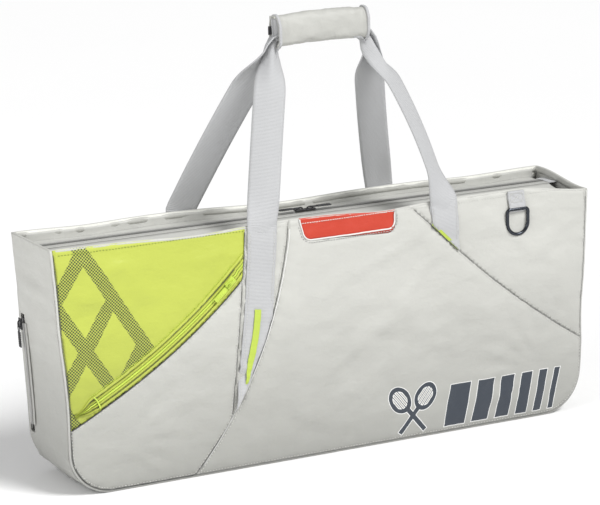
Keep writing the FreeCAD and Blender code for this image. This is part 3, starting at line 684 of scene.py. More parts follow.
def flat_cut(node, keeps, pitch):
    """One face of a CAD node as a fine mesh, cut along evenly spaced planes."""
    bm = bmesh.new()
    bm.from_mesh(frame["nodes"][node].data)
    bmesh.ops.remove_doubles(bm, verts=bm.verts, dist=1e-6)
    middle = Vector((0, 0, 0.65 * RIM))
    spare = [face for face in bm.faces
             if not keeps(face.normal) or face.normal.dot(face.calc_center_median() - middle) < 0]
    bmesh.ops.delete(bm, geom=spare, context="FACES")
    bmesh.ops.dissolve_limit(bm, angle_limit=math.radians(0.5), verts=bm.verts, edges=bm.edges)
    low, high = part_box(node)
    for axis in range(3):
        if high[axis] - low[axis] < 3 * pitch:
            continue
        count = max(2, round((high[axis] - low[axis]) / pitch))
        normal = Vector((0, 0, 0))
        normal[axis] = 1
        for index in range(1, count):
            spot = low.copy()
            spot[axis] = low[axis] + (high[axis] - low[axis]) * index / count
            bmesh.ops.bisect_plane(bm, geom=bm.verts[:] + bm.edges[:] + bm.faces[:], dist=1e-7, plane_co=spot,
                                   plane_no=normal)
    bmesh.ops.triangulate(bm, faces=[face for face in bm.faces if len(face.verts) > 4])
    return bm


def map_in_metres(bm):
    """A map that lays the weave flat on the panel."""
    uv = bm.loops.layers.uv.verify()
    for face in bm.faces:
        drop = max(range(3), key=lambda axis: abs(face.normal[axis]))
        axes = [axis for axis in range(3) if axis != drop]
        for loop in face.loops:
            loop[uv].uv = (loop.vert.co[axes[0]], loop.vert.co[axes[1]])


def corner_crease(point):
    """Short folds that fan out of the lower corners, where the gusset turns."""
    height = 0.0
    for side in (-1, 1):
        reach = Vector((point.x - side * BASE_HALF, point.z - 0.062))
        away = reach.length
        if 0.02 < away < 0.14:
            angle = math.atan2(reach.y, reach.x)
            fan = math.sin(angle * 17 + 2.2 * wave(angle * 3, side * 5.0))
            height += fan * 1.3 * MM * smooth(0.02, 0.055, away) * (1 - smooth(0.065, 0.13, away))
    return height


def sewn_panel(node, name, keeps, body="bag", puff=None, lift=0.0, pitch=None, seed=0.0, finish="shell_cloth",
               slot="shell_grey", thickness=1.1 * MM, sheet=True, level=1.0):
    """A cloth panel from its CAD outline: pulled in at its seams, gathered along them, and slowly waved."""
    cloth = bpy.context.scene.racket_bag_cloth
    puff = cloth.puff if puff is None else puff
    bm = flat_cut(node, keeps, pitch or cloth.pitch)
    map_in_metres(bm)
    area = sum(face.calc_area() for face in bm.faces)
    borders = [edge for edge in bm.edges if edge.is_boundary]
    seam = KDTree(len(borders) * 3)
    for index, edge in enumerate(borders):
        first, second = edge.verts[0].co, edge.verts[1].co
        for step in range(3):
            seam.insert(first.lerp(second, step / 3), index * 3 + step)
    seam.balance()
    bm.normal_update()
    moves = []
    for vert in bm.verts:
        near, _, away = seam.find(vert.co)
        swell = puff * (0.55 * (1 - math.exp(-away / (3 * MM))) + 0.45 * (1 - math.exp(-away / (22 * MM))))
        calm = level * (1 - under_side_zip(vert.co))
        gather = cloth.pucker * calm * seam_gathers(near, away, seed)
        inside = 1 - math.exp(-away / (30 * MM))
        x, y, z = vert.co
        slow = wave(x * 8 + seed, z * 11, y * 11) + 0.5 * wave(x * 20 + z * 9, z * 34 - x * 12, seed)
        slow += 0.30 * wave(x * 48 - z * 20, z * 60, seed + 7)
        slow *= cloth.wrinkle * calm * inside
        folds = 0.0
        if abs(vert.normal.y) > 0.5:
            folds = corner_crease(vert.co)
            if vert.co.y < 0:
                folds += soft_folds(vert.co)
        rise = swell + gather + slow + folds * level * inside
        moves.append(vert.normal * (max(rise, -0.3 * MM) + lift))
    for vert, move in zip(bm.verts, moves):
        vert.co = settled(vert.co + move)
    thing = thicken(mesh_object(name, bm), thickness)
    finish_piece(thing, body, finish_named(finish), [node])
    return thing


def outline_loops(node, keeps):
    """The edge of a CAD face as loops of points in order."""
    bm = bmesh.new()
    bm.from_mesh(frame["nodes"][node].data)
    bmesh.ops.remove_doubles(bm, verts=bm.verts, dist=1e-6)
    bmesh.ops.delete(bm, geom=[face for face in bm.faces if not keeps(face.normal)], context="FACES")
    bmesh.ops.dissolve_limit(bm, angle_limit=math.radians(0.5), verts=bm.verts, edges=bm.edges)
    loops = [[loop.vert.co.copy() for loop in face.loops] for face in bm.faces]
    bm.free()
    return loops


def inset_path(loop, inset, outward, step):
    """A closed path inside an outline, at a distance from it."""
    points = along([*loop, loop[0]], step)
    path = []
    for index, point in enumerate(points):
        ahead, behind = points[(index + 1) % len(points)], points[index - 1]
        tangent = (ahead - behind).normalized()
        path.append(point + outward.cross(tangent).normalized() * inset)
    return path


def stitches(name, runs, surface, body, thread="thread", size=0.42 * MM,
             thread_length=1.35 * MM):
    """Rows of thread laid on a surface: one small bead for each stitch."""
    bm = bmesh.new()
    for run in runs:
        for first, second in zip(run, run[1:]):
            middle, normal = surface.at((first + second) / 2, size * 0.5)
            tangent = (second - first).normalized()
            side = tangent.cross(normal).normalized()
            tangent = normal.cross(side).normalized()
            turn = Matrix((tangent, side, normal)).transposed().to_4x4()
            scale = Matrix.Diagonal((thread_length, size, size, 1))
            bmesh.ops.create_icosphere(bm, subdivisions=1, radius=1,
                                       matrix=Matrix.Translation(middle) @ turn @ scale)
    thing = mesh_object(name, bm)
    return finish_piece(thing, body, finish_named(thread))


def dress_front():
    """The six cloth panels of the front."""
    looks = {
        "lime_pocket_panel": dict(finish="lime_cloth", slot="pocket_lime", puff=1.8 * MM, seed=3.0),
        "lower_left_panel": dict(lift=0.9 * MM, seed=11.0),
        "strap_yoke_panel": dict(puff=0.9 * MM, seed=5.0),
        "centre_panel": dict(lift=1.1 * MM, puff=3.4 * MM, seed=7.0, finish="marked_cloth"),
        "right_panel": dict(lift=0.2 * MM, seed=17.0),
        "red_inset": dict(finish="red_cloth", slot="inset_red", puff=1.2 * MM, lift=0.8 * MM, seed=23.0,
                          pitch=3 * MM, level=0.5),
    }
    for node, look in looks.items():
        sewn_panel(node, f"{node}_cloth", outside_front, **look)


def front_surface():
    """The whole front, for things laid on it."""
    return Surface([f"{node}_cloth" for node in FRONT_PANELS], OUT_FRONT)


def dress_back_and_sides():
    """The cloth panels that the front doesn't show."""
    sewn_panel("back_panel", "back_panel_cloth", outside_back, puff=3.0 * MM, seed=31.0)
    sewn_panel("left_gusset", "left_gusset_cloth", outside_left, puff=0.8 * MM, pitch=4 * MM, seed=37.0)
    sewn_panel("right_gusset", "right_gusset_cloth", outside_right, puff=0.8 * MM, pitch=4 * MM, seed=41.0)
    sewn_panel("base_panel", "base_panel_cloth", outside_base, puff=0.0, pitch=8 * MM, seed=43.0, level=0.1)


def dress_inside():
    """Foam and linings: the layers that show inside the open mouth."""
    plain = dict(puff=0.0, pitch=14 * MM, level=0.0, lift=-0.6 * MM)
    sewn_panel("front_foam", "front_foam_pad", outside_front, finish="foam", slot="foam", thickness=2.8 * MM,
               sheet=False, **plain)
    sewn_panel("back_foam", "back_foam_pad", outside_back, finish="foam", slot="foam", thickness=2.8 * MM,
               sheet=False, **plain)
    lining = dict(finish="lining_cloth", slot="lining_grey", thickness=0.7 * MM)
    sewn_panel("front_lining", "front_lining_cloth", outside_front, **lining, **plain)
    sewn_panel("back_lining", "back_lining_cloth", outside_back, **lining, **plain)
    sides = sewn_panel("gusset_lining", "gusset_lining_cloth", gusset_outside, sheet=False, **lining, **plain)


def gusset_outside(normal):
    """The U that runs round the sides and base."""
    return abs(normal.y) < 0.5 and normal.z < 0.5


def dress_rim():
    """The rim: facing inside, a rolled hem over the top edge, and its board."""
    bm = bmesh.new()
    for side, inner in ((-1, 1), (1, -1)):
        low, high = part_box("rim_facing")
        y = low.y if side < 0 else high.y
        rows = bmesh.ops.create_grid(bm, x_segments=180, y_segments=8, size=0.5)["verts"]
        for vert in rows:
            x = low.x + (high.x - low.x) * (vert.co.x + 0.5)
            share = vert.co.y + 0.5
            z = low.z + (high.z - 2.5 * MM - low.z) * share
            fold = wave(x * 26 + 20 * z, z * 40, side * 3.0) + 0.6 * wave(x * 60, z * 90, side * 9.0)
            depth = abs(fold) * 4.2 * MM * max(0.0, 0.62 - share) ** 0.5 + 0.4 * MM
            vert.co = settled(Vector((x, y + inner * depth, z)))
    map_in_metres(bm)
    facing = thicken(mesh_object("rim_facing_cloth", bm), 0.8 * MM, 0.0)
    finish_piece(facing, "bag", finish_named("lining_cloth"), ["rim_facing"])
    section = [(-1.9 * MM, -2.2 * MM), (-2.0 * MM, -0.9 * MM), (-1.2 * MM, 0.3 * MM), (0, 0.7 * MM),
               (1.2 * MM, 0.3 * MM), (2.0 * MM, -0.9 * MM), (2.3 * MM, -4 * MM), (2.3 * MM, -8 * MM),
               (1.2 * MM, -8 * MM), (0, -5 * MM)]
    hem = sweep("rim_hem", rim_path(1.9 * MM, 3.1 * MM), section, ring=True)
    finish_piece(hem, "bag", finish_named("shell_cloth"))
    board = bmesh.new()
    board.from_mesh(frame["nodes"]["rim_stiffener"].data)
    bmesh.ops.remove_doubles(board, verts=board.verts, dist=1e-6)
    cut_along_x(board, 60)
    for vert in board.verts:
        vert.co = settled(vert.co - UP * 4 * MM)
    finish_piece(mesh_object("rim_board", board), "bag", finish_named("board"), ["rim_stiffener"])


def cut_along_x(bm, count):
    for index in range(1, count):
        spot = Vector((HALF_LENGTH * (2 * index / count - 1), 0, 0))
        bmesh.ops.bisect_plane(bm, geom=bm.verts[:] + bm.edges[:] + bm.faces[:], dist=1e-7, plane_co=spot,
                               plane_no=Vector((1, 0, 0)))


def rim_path(inset_x, inset_y):
    """Frames round the rim, with small corners."""
    half_x, half_y, radius = HALF_LENGTH - inset_x, BACK_Y - inset_y, 6 * MM
    corners = [(-1, -1, math.pi), (1, -1, 1.5 * math.pi), (1, 1, 0.0), (-1, 1, 0.5 * math.pi)]
    outline = []
    for sx, sy, start in corners:
        centre = Vector((sx * (half_x - radius), sy * (half_y - radius), RIM))
        for index in range(5):
            angle = start + math.pi / 2 * index / 4
            outline.append(centre + Vector((math.cos(angle), math.sin(angle), 0)) * radius)
    points = along([*outline, outline[0]], 5 * MM)
    frames = []
    for index, point in enumerate(points):
        tangent = (points[(index + 1) % len(points)] - points[index - 1]).normalized()
        across = UP.cross(tangent).normalized()
        ripple = 0.4 * MM * wave(point.x * 60, point.y * 60)
        frames.append((settled(point) + across * ripple, across, UP))
    return frames


def centre_seam():
    """Points down the centre seam, from the rim to the base."""
    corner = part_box("centre_panel")[0]
    foot = Vector((corner.x, 0, corner.z))
    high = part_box("strap_yoke_panel")[1]
    start = Vector((high.x, 0, high.z))
    lean = Vector((start.z - foot.z, 0, foot.x - start.x)).normalized()
    return arc_points(start, foot, CENTRE_SEAM_RADIUS, lean, 30)


def right_seam():
    """Points down the right seam, from the rim to the side."""
    low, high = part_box("right_panel")
    start, end = Vector((low.x, 0, high.z)), Vector((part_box("centre_panel")[1].x, 0, low.z))
    lean = Vector((end.z - start.z, 0, start.x - end.x)).normalized()
    return arc_points(start, end, RIGHT_SEAM_RADIUS, lean, 24)


def piping_path(y):
    """Frames along the corded seam, down one side, along the base and up the other."""
    loop = outline_loops("back_panel", outside_back)[0]
    points = [Vector((p.x, y, p.z)) for p in loop]
    start = max(range(len(points)), key=lambda i: (points[i].z > RIM - MM) * (2 - points[i].x))
    ordered = points[start:] + points[:start]
    if ordered[1].z > RIM - MM:
        ordered = [ordered[0], *reversed(ordered[1:])]
    middle = Vector((0, y, RIM / 2))
    fine = along(ordered, 4 * MM)
    frames = []
    for index, point in enumerate(fine):
        ahead, behind = fine[min(index + 1, len(fine) - 1)], fine[max(index - 1, 0)]
        tangent = (ahead - behind).normalized()
        out = Vector((tangent.z, 0, -tangent.x))
        if out.dot(point - middle) < 0:
            out = -out
        centre = point + out * 1.7 * MM
        wobble = 0.35 * MM * wave(point.x * 80, point.z * 80, y * 50)
        frames.append((settled(centre) + out * wobble, tangent.cross(out), out))
    return frames


def dress_piping():
    """The corded edges, front and rear."""
    for node, name, y, in (("front_piping", "front_corded_seam", FRONT_Y + 1.5 * MM),
                           ("rear_piping", "rear_corded_seam", BACK_Y - 1.5 * MM)):
        cord = sweep(name, piping_path(y), round_section(1.6 * MM))
        finish_piece(cord, "bag", finish_named("piping_cloth"), [node])


# ---------------------------------------------------------------- straps
def right_seam_z(x):
    """Height of the right seam at a place along the bag."""
    points = right_seam()
    for left, right in zip(points, points[1:]):
        if left.x <= x <= right.x:
            return left.z + (right.z - left.z) * (x - left.x) / (right.x - left.x)
    return points[-1].z


def trim_to_seam(thing, points, away):
    """Cut a strap off along a seam, keeping the side that faces away from it."""
    bm = bmesh.new()
    bm.from_mesh(thing.data)
    low = min(vert.co.z for vert in bm.verts) - 5 * MM
    high = max(vert.co.z for vert in bm.verts) + 5 * MM
    for first, second in zip(points, points[1:]):
        if max(first.z, second.z) < low or min(first.z, second.z) > high:
            continue
        run = second - first
        normal = Vector((run.z, 0, -run.x)).normalized()
        if normal.dot(away) > 0:
            normal = -normal
        bmesh.ops.bisect_plane(bm, geom=bm.verts[:] + bm.edges[:] + bm.faces[:], dist=1e-6, plane_co=first,
                               plane_no=normal, clear_outer=True)
        bmesh.ops.holes_fill(bm, edges=[edge for edge in bm.edges if edge.is_boundary], sides=0)
    bmesh.ops.recalc_face_normals(bm, faces=bm.faces)
    bm.to_mesh(thing.data)
    bm.free()


def left_strap_line(shift=0.0):
    """The front left strap's own line on the shell, or a line beside it."""
    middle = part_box("front_left_strap_anchor")[1].x - 19 * MM + shift
    drops = ((1, 0), (45, -3.5), (95, -8.5), (137, -14), (185, -20.5), (231, -27))
    return [front_point(middle + lean * MM, RIM - drop * MM) for drop, lean in drops]


def strap_on(name, surface, points, body, node, web_lift=1.1 * MM, finish="strap_web",
             width=38 * MM, thickness=None):
    """Webbing sewn flat on the shell along a run of points."""
    trim = bpy.context.scene.racket_bag_trim
    thickness = thickness or trim.webbing_thickness
    laid = [surface.at(point, web_lift) for point in along(points, 5 * MM)]
    path = stations([point for point, _ in laid], [normal for _, normal in laid])
    thing = sweep(name, path, flat_section(width, thickness))
    return finish_piece(thing, body, finish_named(finish), [node] if node else ())


def dress_anchors():
    """The sewn ends of the four straps."""
    front = front_surface()
    left = strap_on("front_left_anchor_web", front, left_strap_line(), "bag", "front_left_strap_anchor",
                    width=39.5 * MM)
    trim_to_seam(left, centre_seam(), Vector((-1, 0, 0)))
    low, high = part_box("front_right_strap_anchor")
    middle = (low.x + high.x) / 2
    points = [front_point(middle, RIM - 1 * MM), front_point(middle + 1 * MM, low.z - 8 * MM)]
    right = strap_on("front_right_anchor_web", front, points, "bag", "front_right_strap_anchor")
    trim_to_seam(right, [front_point(x, right_seam_z(x)) for x in (low.x - 5 * MM, high.x + 5 * MM)], UP)
    back = Surface(["back_panel_cloth"], OUT_BACK)
    for side in ("left", "right"):
        node = f"rear_{side}_strap_anchor"
        low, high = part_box(node)
        middle = (low.x + high.x) / 2
        points = [Vector((middle, BACK_Y, high.z - 1 * MM)), Vector((middle, BACK_Y, low.z))]
        strap_on(f"rear_{side}_anchor_web", back, points, "bag", node)
    dress_accents(front)


def dress_accents(front):
    """The lime stripe on the left strap and the pale lime edge at the foot of the right one."""
    line = along(left_strap_line(-2 * MM), 4 * MM)
    stripe = [p + Vector((-7 * MM * smooth(120 * MM, 205 * MM, RIM - p.z), 0, 0)) for p in line
              if RIM - 198 * MM < p.z < RIM - 102 * MM]
    laid = [front.at(point, 3.0 * MM) for point in stripe]
    path = stations([point for point, _ in laid], [normal for _, normal in laid])
    bm = bmesh.new()
    widths = [min(1.0, 0.35 + (len(path) - i) / 14) for i in range(len(path))]
    sweep_into(bm, path, lambda i: flat_section(9 * MM * widths[i], 0.8 * MM))
    low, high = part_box("front_right_strap_anchor")
    foot = [Vector((x, FRONT_Y, right_seam_z(x) + 2.6 * MM))
            for x in (low.x + 1 * MM, (low.x + high.x) / 2, high.x + 2 * MM)]
    laid = [front.at(point, 2.6 * MM) for point in along(foot, 4 * MM)]
    path = stations([point for point, _ in laid], [normal for _, normal in laid])
    sweep_into(bm, path, flat_section(4.0 * MM, 0.9 * MM))
    bars = mesh_object("strap_accent_tape", bm)
    finish_piece(bars, "bag", finish_named("lime_web"), ["strap_accent_bars"])


def folded_section(width, thickness, angle, cells=10):
    """A strap's section folded along its middle; at no angle it is flat."""
    half, skin = width / 2, thickness / 2
    outer, inner = [], []
    for index in range(cells + 1):
        share = 1 - 2 * index / cells
        reach = abs(share) * half
        soft = math.sqrt(reach * reach + (2.2 * MM) ** 2) - 2.2 * MM
        across = math.copysign(reach * math.cos(angle), share) + math.copysign(
            (reach - soft) * (1 - math.cos(angle)), share) * min(1.0, abs(share) * 4)
        depth = -soft * math.sin(angle)
        turn = math.atan2(math.sin(angle) * share, max(0.2, math.cos(angle))) * min(1.0, abs(share) * 5)
        outer.append((across + skin * math.sin(turn) * abs(math.sin(angle)), depth + skin))
        inner.append((across - skin * math.sin(turn) * abs(math.sin(angle)), depth - skin))
    return [*outer, *reversed(inner)]


def dress_legs():
    """The straps' free lengths, folding in half as they rise into the ends of the wrap."""
    wrap_low, wrap_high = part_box("wrap_cover")
    surfaces = {"front": front_surface(), "rear": Surface(["back_panel_cloth"], OUT_BACK)}
    for face, outward in (("front", OUT_FRONT), ("rear", OUT_BACK)):
        for side, turn in (("left", 1), ("right", -1)):
            node = f"{face}_{side}_strap_leg"
            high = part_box(node)[1]
            box_low, box_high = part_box(f"{face}_{side}_strap_anchor")
            foot_x = (box_low.x + box_high.x) / 2
            if (face, side) == ("front", "left"):
                foot_x = box_high.x - 19 * MM
            end_x = (wrap_low.x if side == "left" else wrap_high.x) - turn * 2 * MM
            y = FRONT_Y if face == "front" else BACK_Y
            points = [surfaces[face].at(Vector((foot_x, y, RIM - depth * MM)), lift * MM)[0]
                      for depth, lift in ((17, 0.2), (10, 1.4), (4, 2.2))]
            foot = points[-1] + UP * 4 * MM
            neck = Vector((end_x, outward.y * 7.5 * MM, high.z - 4 * MM))
            count = 42
            for index in range(count + 1):
                share = index / count
                slack = math.sin(math.pi * share)
                bow = Vector((turn * slack * LEG_BOW[face, side] * MM, outward.y * slack * 2.0 * MM, 0))
                points.append(foot.lerp(neck, share) + bow)
            points += [neck + Vector((turn * along_x * MM, -outward.y * back * MM, rise * MM))
                       for along_x, back, rise in ((3, 2.5, 7), (8, 4.5, 13), (16, 6, 16), (28, 7, 17))]
            total = len(points) - 1
            normals = []
            for index in range(total + 1):
                share = index / total
                lean = LEG_TWIST[face, side] * smooth(0.02, 0.25, share)
                normals.append((outward + Vector((lean, 0, 0.12 * smooth(0.02, 0.2, share)))).normalized())
            path = stations(points, normals)
            thing = sweep(f"{face}_{side}_leg_web", path,
                          lambda i: folded_section((39.5 - 12 * smooth(0.90, 0.97, i / total)) * MM, 1.8 * MM,
                                                   math.radians(4 + 60 * smooth(0.70, 0.93, i / total))))
            finish_piece(thing, "bag", finish_named("strap_web"), [node])
            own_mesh(thing)


# ---------------------------------------------------------------- handle wrap
def wrap_ring(half_y, half_z, share, seed, rough=1.0):
    """A soft rounded section at a share of the wrap's length."""
    points = []
    count = 52
    ends = abs(2 * share - 1)
    for index in range(count):
        angle = math.tau * index / count
        c, s = math.cos(angle), math.sin(angle)
        y = half_y * math.copysign(abs(c) ** 0.75, c) * (1 - 0.16 * s)
        z = half_z * math.copysign(abs(s) ** 0.75, s)
        crease = 1.1 * MM * wave(share * 7 + seed, angle * 1.4)
        crease += 0.6 * MM * wave(share * 22, angle * 2.6, seed)
        pull = 0.5 * MM * math.sin(share * 60 + angle * 2) * smooth(0.7, 0.95, ends)
        flare = 1.2 * MM * smooth(0.88, 0.98, ends) - 0.9 * MM * bump(ends, 0.82, 0.08)
        grow = 1 + rough * (crease + flare + pull) / half_y
        points.append((y * grow, z * (1 + (grow - 1) * 0.5)))
    return points


def dress_wrap():
    """The padded wrap, its bindings and the two webs inside it."""
    low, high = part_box("wrap_cover")
    middle = (low + high) / 2
    count = 60
    short = 5 * MM
    path = []
    for index in range(count + 1):
        share = index / count
        rise = 2.4 * MM * math.sin(math.pi * share) - 1.2 * MM
        point = Vector((low.x + short + (high.x - low.x - 2 * short) * share, middle.y,
                        middle.z + rise - 2.0 * MM * (0.5 - share)))
        path.append((point, Vector((0, 1, 0)), UP))
    size = (high - low) / 2
    cover = sweep("handle_wrap_cover", path,
                  lambda i: wrap_ring(size.y - 0.8 * MM, size.z - 1.6 * MM, i / count, 2.0), capped=False)
    thicken(cover, 1.2 * MM)
    finish_piece(cover, "handle", finish_named("wrap_cloth"), ["wrap_cover"])
    low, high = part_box("wrap_padding")
    inner = (high - low) / 2
    padding = sweep("handle_wrap_foam", path[1:-1],
                    lambda i: wrap_ring(inner.y - 0.8 * MM, inner.z - 1.6 * MM, (i + 1) / count, 2.0, 0.8),
                    capped=False)
    thicken(padding, 2.2 * MM)
    finish_piece(padding, "handle", finish_named("foam"), ["wrap_padding"])
    bindings = bmesh.new()
    for place in (1, count - 1):
        section = wrap_ring(size.y - 0.3 * MM, size.z - 1.1 * MM, place / count, 2.0)
        centre = path[place][0]
        frames = []
        for y, z in section:
            point = centre + Vector((0, y, z))
            frames.append((point, Vector((1, 0, 0)), (point - centre).normalized()))
        sweep_into(bindings, frames, flat_section(4.5 * MM, 2.2 * MM, 4), ring=True)
    edge = mesh_object("handle_wrap_binding", bindings)
    finish_piece(edge, "handle", finish_named("strap_web"))
    tape = [Vector((low.x + 0.5 * MM + 3 * MM * i, 7 * MM - 0.6 * MM * i, middle.z - 1 * MM))
            for i in range(6)]
    inner_tape = sweep("handle_wrap_end_tape", stations(tape, [OUT_FRONT] * 6),
                       flat_section(11 * MM, 1.4 * MM, 6))
    finish_piece(inner_tape, "handle", finish_named("hook_tape"))
    for node, name in (("front_grip_webbing", "front_grip_web"), ("rear_grip_webbing", "rear_grip_web")):
        low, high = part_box(node)
        centre = (low + high) / 2
        points = [Vector((low.x + 4 * MM + (high.x - low.x - 8 * MM) * i / 20, centre.y,
                          centre.z + 0.6 * MM * math.sin(i))) for i in range(21)]
        grip = sweep(name, stations(points, [Vector((0, -1, 0))] * 21),
                     flat_section(high.z - low.z - 6 * MM, high.y - low.y))
        finish_piece(grip, "handle", finish_named("strap_web"), [node])


def dress_wrap_flap():
    """The overlap that closes the wrap, with its hook and loop tapes."""
    for node, name, finish, slot, body in (
            ("wrap_flap", "wrap_overlap", "wrap_cloth", "shell_grey", "wrap_flap"),
            ("wrap_hook_patch", "wrap_hook_tape", "hook_tape", "patch_black", "wrap_flap"),
            ("wrap_loop_patch", "wrap_loop_tape", "hook_tape", "patch_black", "handle")):
        low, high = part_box(node)
        centre = (low + high) / 2
        count = 36
        ends = 4 * MM
        points = [Vector((low.x + ends + (high.x - low.x - 2 * ends) * i / count, centre.y, centre.z))
                  for i in range(count + 1)]
        width = high.z - low.z
        strip = sweep(name, stations(points, [OUT_BACK] * (count + 1)),
                      flat_section(width, high.y - low.y, 8, -0.35 * MM if node == "wrap_flap" else 0.0))
        finish_piece(strip, body, finish_named(finish), [node])


# ---------------------------------------------------------------- zips
def mouth_sag(x, y):
    """The closure hangs a little between the walls, with soft folds."""
    span = 1 - abs(y) / BACK_Y
    fold = 2.2 * MM * wave(x * 14, y * 30, 1.0) + 1.2 * MM * wave(x * 37, y * 60, 2.0)
    return -3.0 * MM * span + fold


def dress_closure():
    """The two cloth strips of the mouth, their tapes and coils."""
    specs = (("front", "front_zip_edge", "closure_open", -1), ("rear", "rear_zip_edge", "closure_rear", 1))
    for name, body, joint, side in specs:
        panel = frame["nodes"][f"{name}_flap_panel"]
        low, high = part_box(f"{name}_flap_panel")
        bm = bmesh.new()
        rows = 12 if side < 0 else 5
        bmesh.ops.create_grid(bm, x_segments=170, y_segments=rows, size=0.5)
        uv = bm.loops.layers.uv.verify()
        wall = low.y if side < 0 else high.y
        edge = high.y if side < 0 else low.y
        for vert in bm.verts:
            x = (low.x + high.x) / 2 + (high.x - low.x) * vert.co.x
            share = vert.co.y + 0.5
            y = wall + (edge - wall) * share
            free = math.sin(math.pi * share) ** 0.6 if 0 < share < 1 else 0.0
            z = high.z + mouth_sag(x, y) * free - 0.6 * MM
            vert.co = (x, y, z)
            rest = settled(Vector((x, y, z)))
            weight = 1 - share
            vert.co = vert.co.lerp(rest, weight)
        for face in bm.faces:
            for loop in face.loops:
                loop[uv].uv = (loop.vert.co.x, loop.vert.co.y)
        if side > 0:
            bmesh.ops.reverse_faces(bm, faces=bm.faces)
        bm.normal_update()
        if sum(face.normal.z for face in bm.faces) < 0:
            bmesh.ops.reverse_faces(bm, faces=bm.faces)
        flap = thicken(mesh_object(f"{name}_closure_cloth", bm), 1.0 * MM)
        finish_piece(flap, body, finish_named("lining_cloth"), [panel["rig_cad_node"]])
        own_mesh(flap)
        dress_straight_zip(f"{name}_zip_tape", f"{name}_zip_coil", body, "zip_web", "grey_coil")
    keep_node("main_zip_end_tabs", "strap_web")


def keep_node(node, finish):
    """A CAD node whose own shape is right: it gets a better finish."""
    thing = frame["nodes"][node]
    thing.data.materials.clear()
    thing.data.materials.append(finish_named(finish))


def dress_straight_zip(tape, coil, body, tape_finish, coil_finish):
    low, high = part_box(tape)
    centre = (low + high) / 2
    count = 90
    points = [Vector((low.x + (high.x - low.x) * i / count, centre.y, centre.z)) for i in range(count + 1)]
    strip = sweep(f"{tape}_web", stations(points, [UP] * (count + 1)),
                  flat_section(high.y - low.y, high.z - low.z, 4))
    finish_piece(strip, body, finish_named(tape_finish), [tape])
    low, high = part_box(coil)
    pitch = bpy.context.scene.racket_bag_trim.coil_pitch
    bm = bmesh.new()
    side = 1 if centre.y < (low.y + high.y) / 2 else -1
    spots = int((high.x - low.x) / pitch)
    for index in range(spots):
        x = low.x + pitch * (index + (0.5 if side > 0 else 0.0))
        place = Matrix.Translation((x, (low.y + high.y) / 2 + side * 0.45 * MM, (low.z + high.z) / 2))
        shape = Matrix.Diagonal((pitch * 0.55, high.y - low.y + 0.4 * MM, high.z - low.z, 1))
        bmesh.ops.create_icosphere(bm, subdivisions=1, radius=0.55, matrix=place @ shape)
    teeth = mesh_object(f"{coil}_teeth", bm)
    finish_piece(teeth, body, finish_named(coil_finish), [coil])


def pocket_curve(radius_shift, low_share, high_share, count, converge=0.0):
    """Points along the pocket zip, at a distance from its own line, drawn together at its low end."""
    joint = next(j for j in frame["joints"] if j["name"] == "pocket_slider_travel")
    centre = Vector(joint["pos_m"])
    low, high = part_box("pocket_zip_coil")
    start, end = Vector((low.x, 0, low.z)), Vector((high.x, 0, high.z))
    first = math.atan2(centre.z - start.z, start.x - centre.x)
    last = math.atan2(centre.z - end.z, end.x - centre.x)
    points = []
    for index in range(count + 1):
        share = low_share + (high_share - low_share) * index / count
        angle = first + (last - first) * share
        close = 1 - converge * (1 - smooth(low_share, low_share + 0.12, share))
        radius = 0.800 + radius_shift * close
        points.append(front_point(centre.x + radius * math.cos(angle), centre.z - radius * math.sin(angle)))
    return points


def laid_strip(bm, surface, points, width, thickness, lift, cup=0.0):
    laid = [surface.at(point, lift) for point in points]
    path = stations([point for point, _ in laid], [normal for _, normal in laid])
    sweep_into(bm, path, flat_section(width, thickness, 6, cup))


def dress_pocket_zip():
    """The slanting zip: its tape under raised lips, and the coil between them."""
    front = front_surface()
    low_end, high_end = -0.075, 1.06
    yoke_low, yoke_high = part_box("strap_yoke_panel")
    panel_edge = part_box("lime_pocket_panel")[1].x
    yoke = [Vector((panel_edge - 1 * MM, 0, yoke_high.z)), Vector((yoke_low.x - 1 * MM, 0, yoke_low.z))]
    lips = []
    for shift, width in ((-8.0, 4.4), (-3.2, 3.8), (3.2, 3.8), (8.0, 4.4)):
        lips.append((shift * MM, width * MM, 1.9 * MM, 1.0 * MM, 0.6 * MM))
    # The tape under the lips is darkened lime: partly its own colour, partly painted shade that shows as dark
    # lines between the lips.
    parts = (("pocket_zip_tapes", "pocket_zip_tape_web", "lime_tape_and_lip_shade", "zip_lime",
              ((0.0, 17.0 * MM, 0.5 * MM, 0.3 * MM, 0),)),
             ("pocket_zip_coil", "pocket_zip_coil_cord", "lime_moulding", "coil_lime",
              ((0.0, 3.0 * MM, 1.2 * MM, 0.9 * MM, 0),)),
             ("pocket_welt", "pocket_lips", "lime_plain", "pocket_lime", lips))
    for node, name, finish, slot, strips in parts:
        bm = bmesh.new()
        for shift, width, thickness, lift, cup in strips:
            points = pocket_curve(shift, low_end, high_end, 90, 0.8)
            laid = [front.at(point, lift) for point in points]
            path = stations([point for point, _ in laid], [normal for _, normal in laid])
            share = [0.35 + 0.65 * smooth(0, 14, i) for i in range(len(path))]
            sweep_into(bm, path, lambda i: flat_section(width * share[i], thickness, 6, -cup))
        thing = mesh_object(name, bm)
        trim_to_seam(thing, yoke, Vector((-1, 0, 0)))
        finish_piece(thing, "bag", finish_named(finish), [node])
    row = pocket_curve(-11.2 * MM, 0.03, 0.99, 90)
    stitches("pocket_lip_stitching", [row], front, "bag", "lime_thread")
    tack = [pocket_curve(shift * MM, 0.05, 0.06, 1)[0] for shift in (-9, -4.5, 0, 4.5, 9)]
    bm = bmesh.new()
    laid_strip(bm, front, along(tack, 2 * MM), 2.2 * MM, 0.8 * MM, 2.5 * MM)
    finish_piece(mesh_object("pocket_zip_tack", bm), "bag", finish_named("lime_thread"))


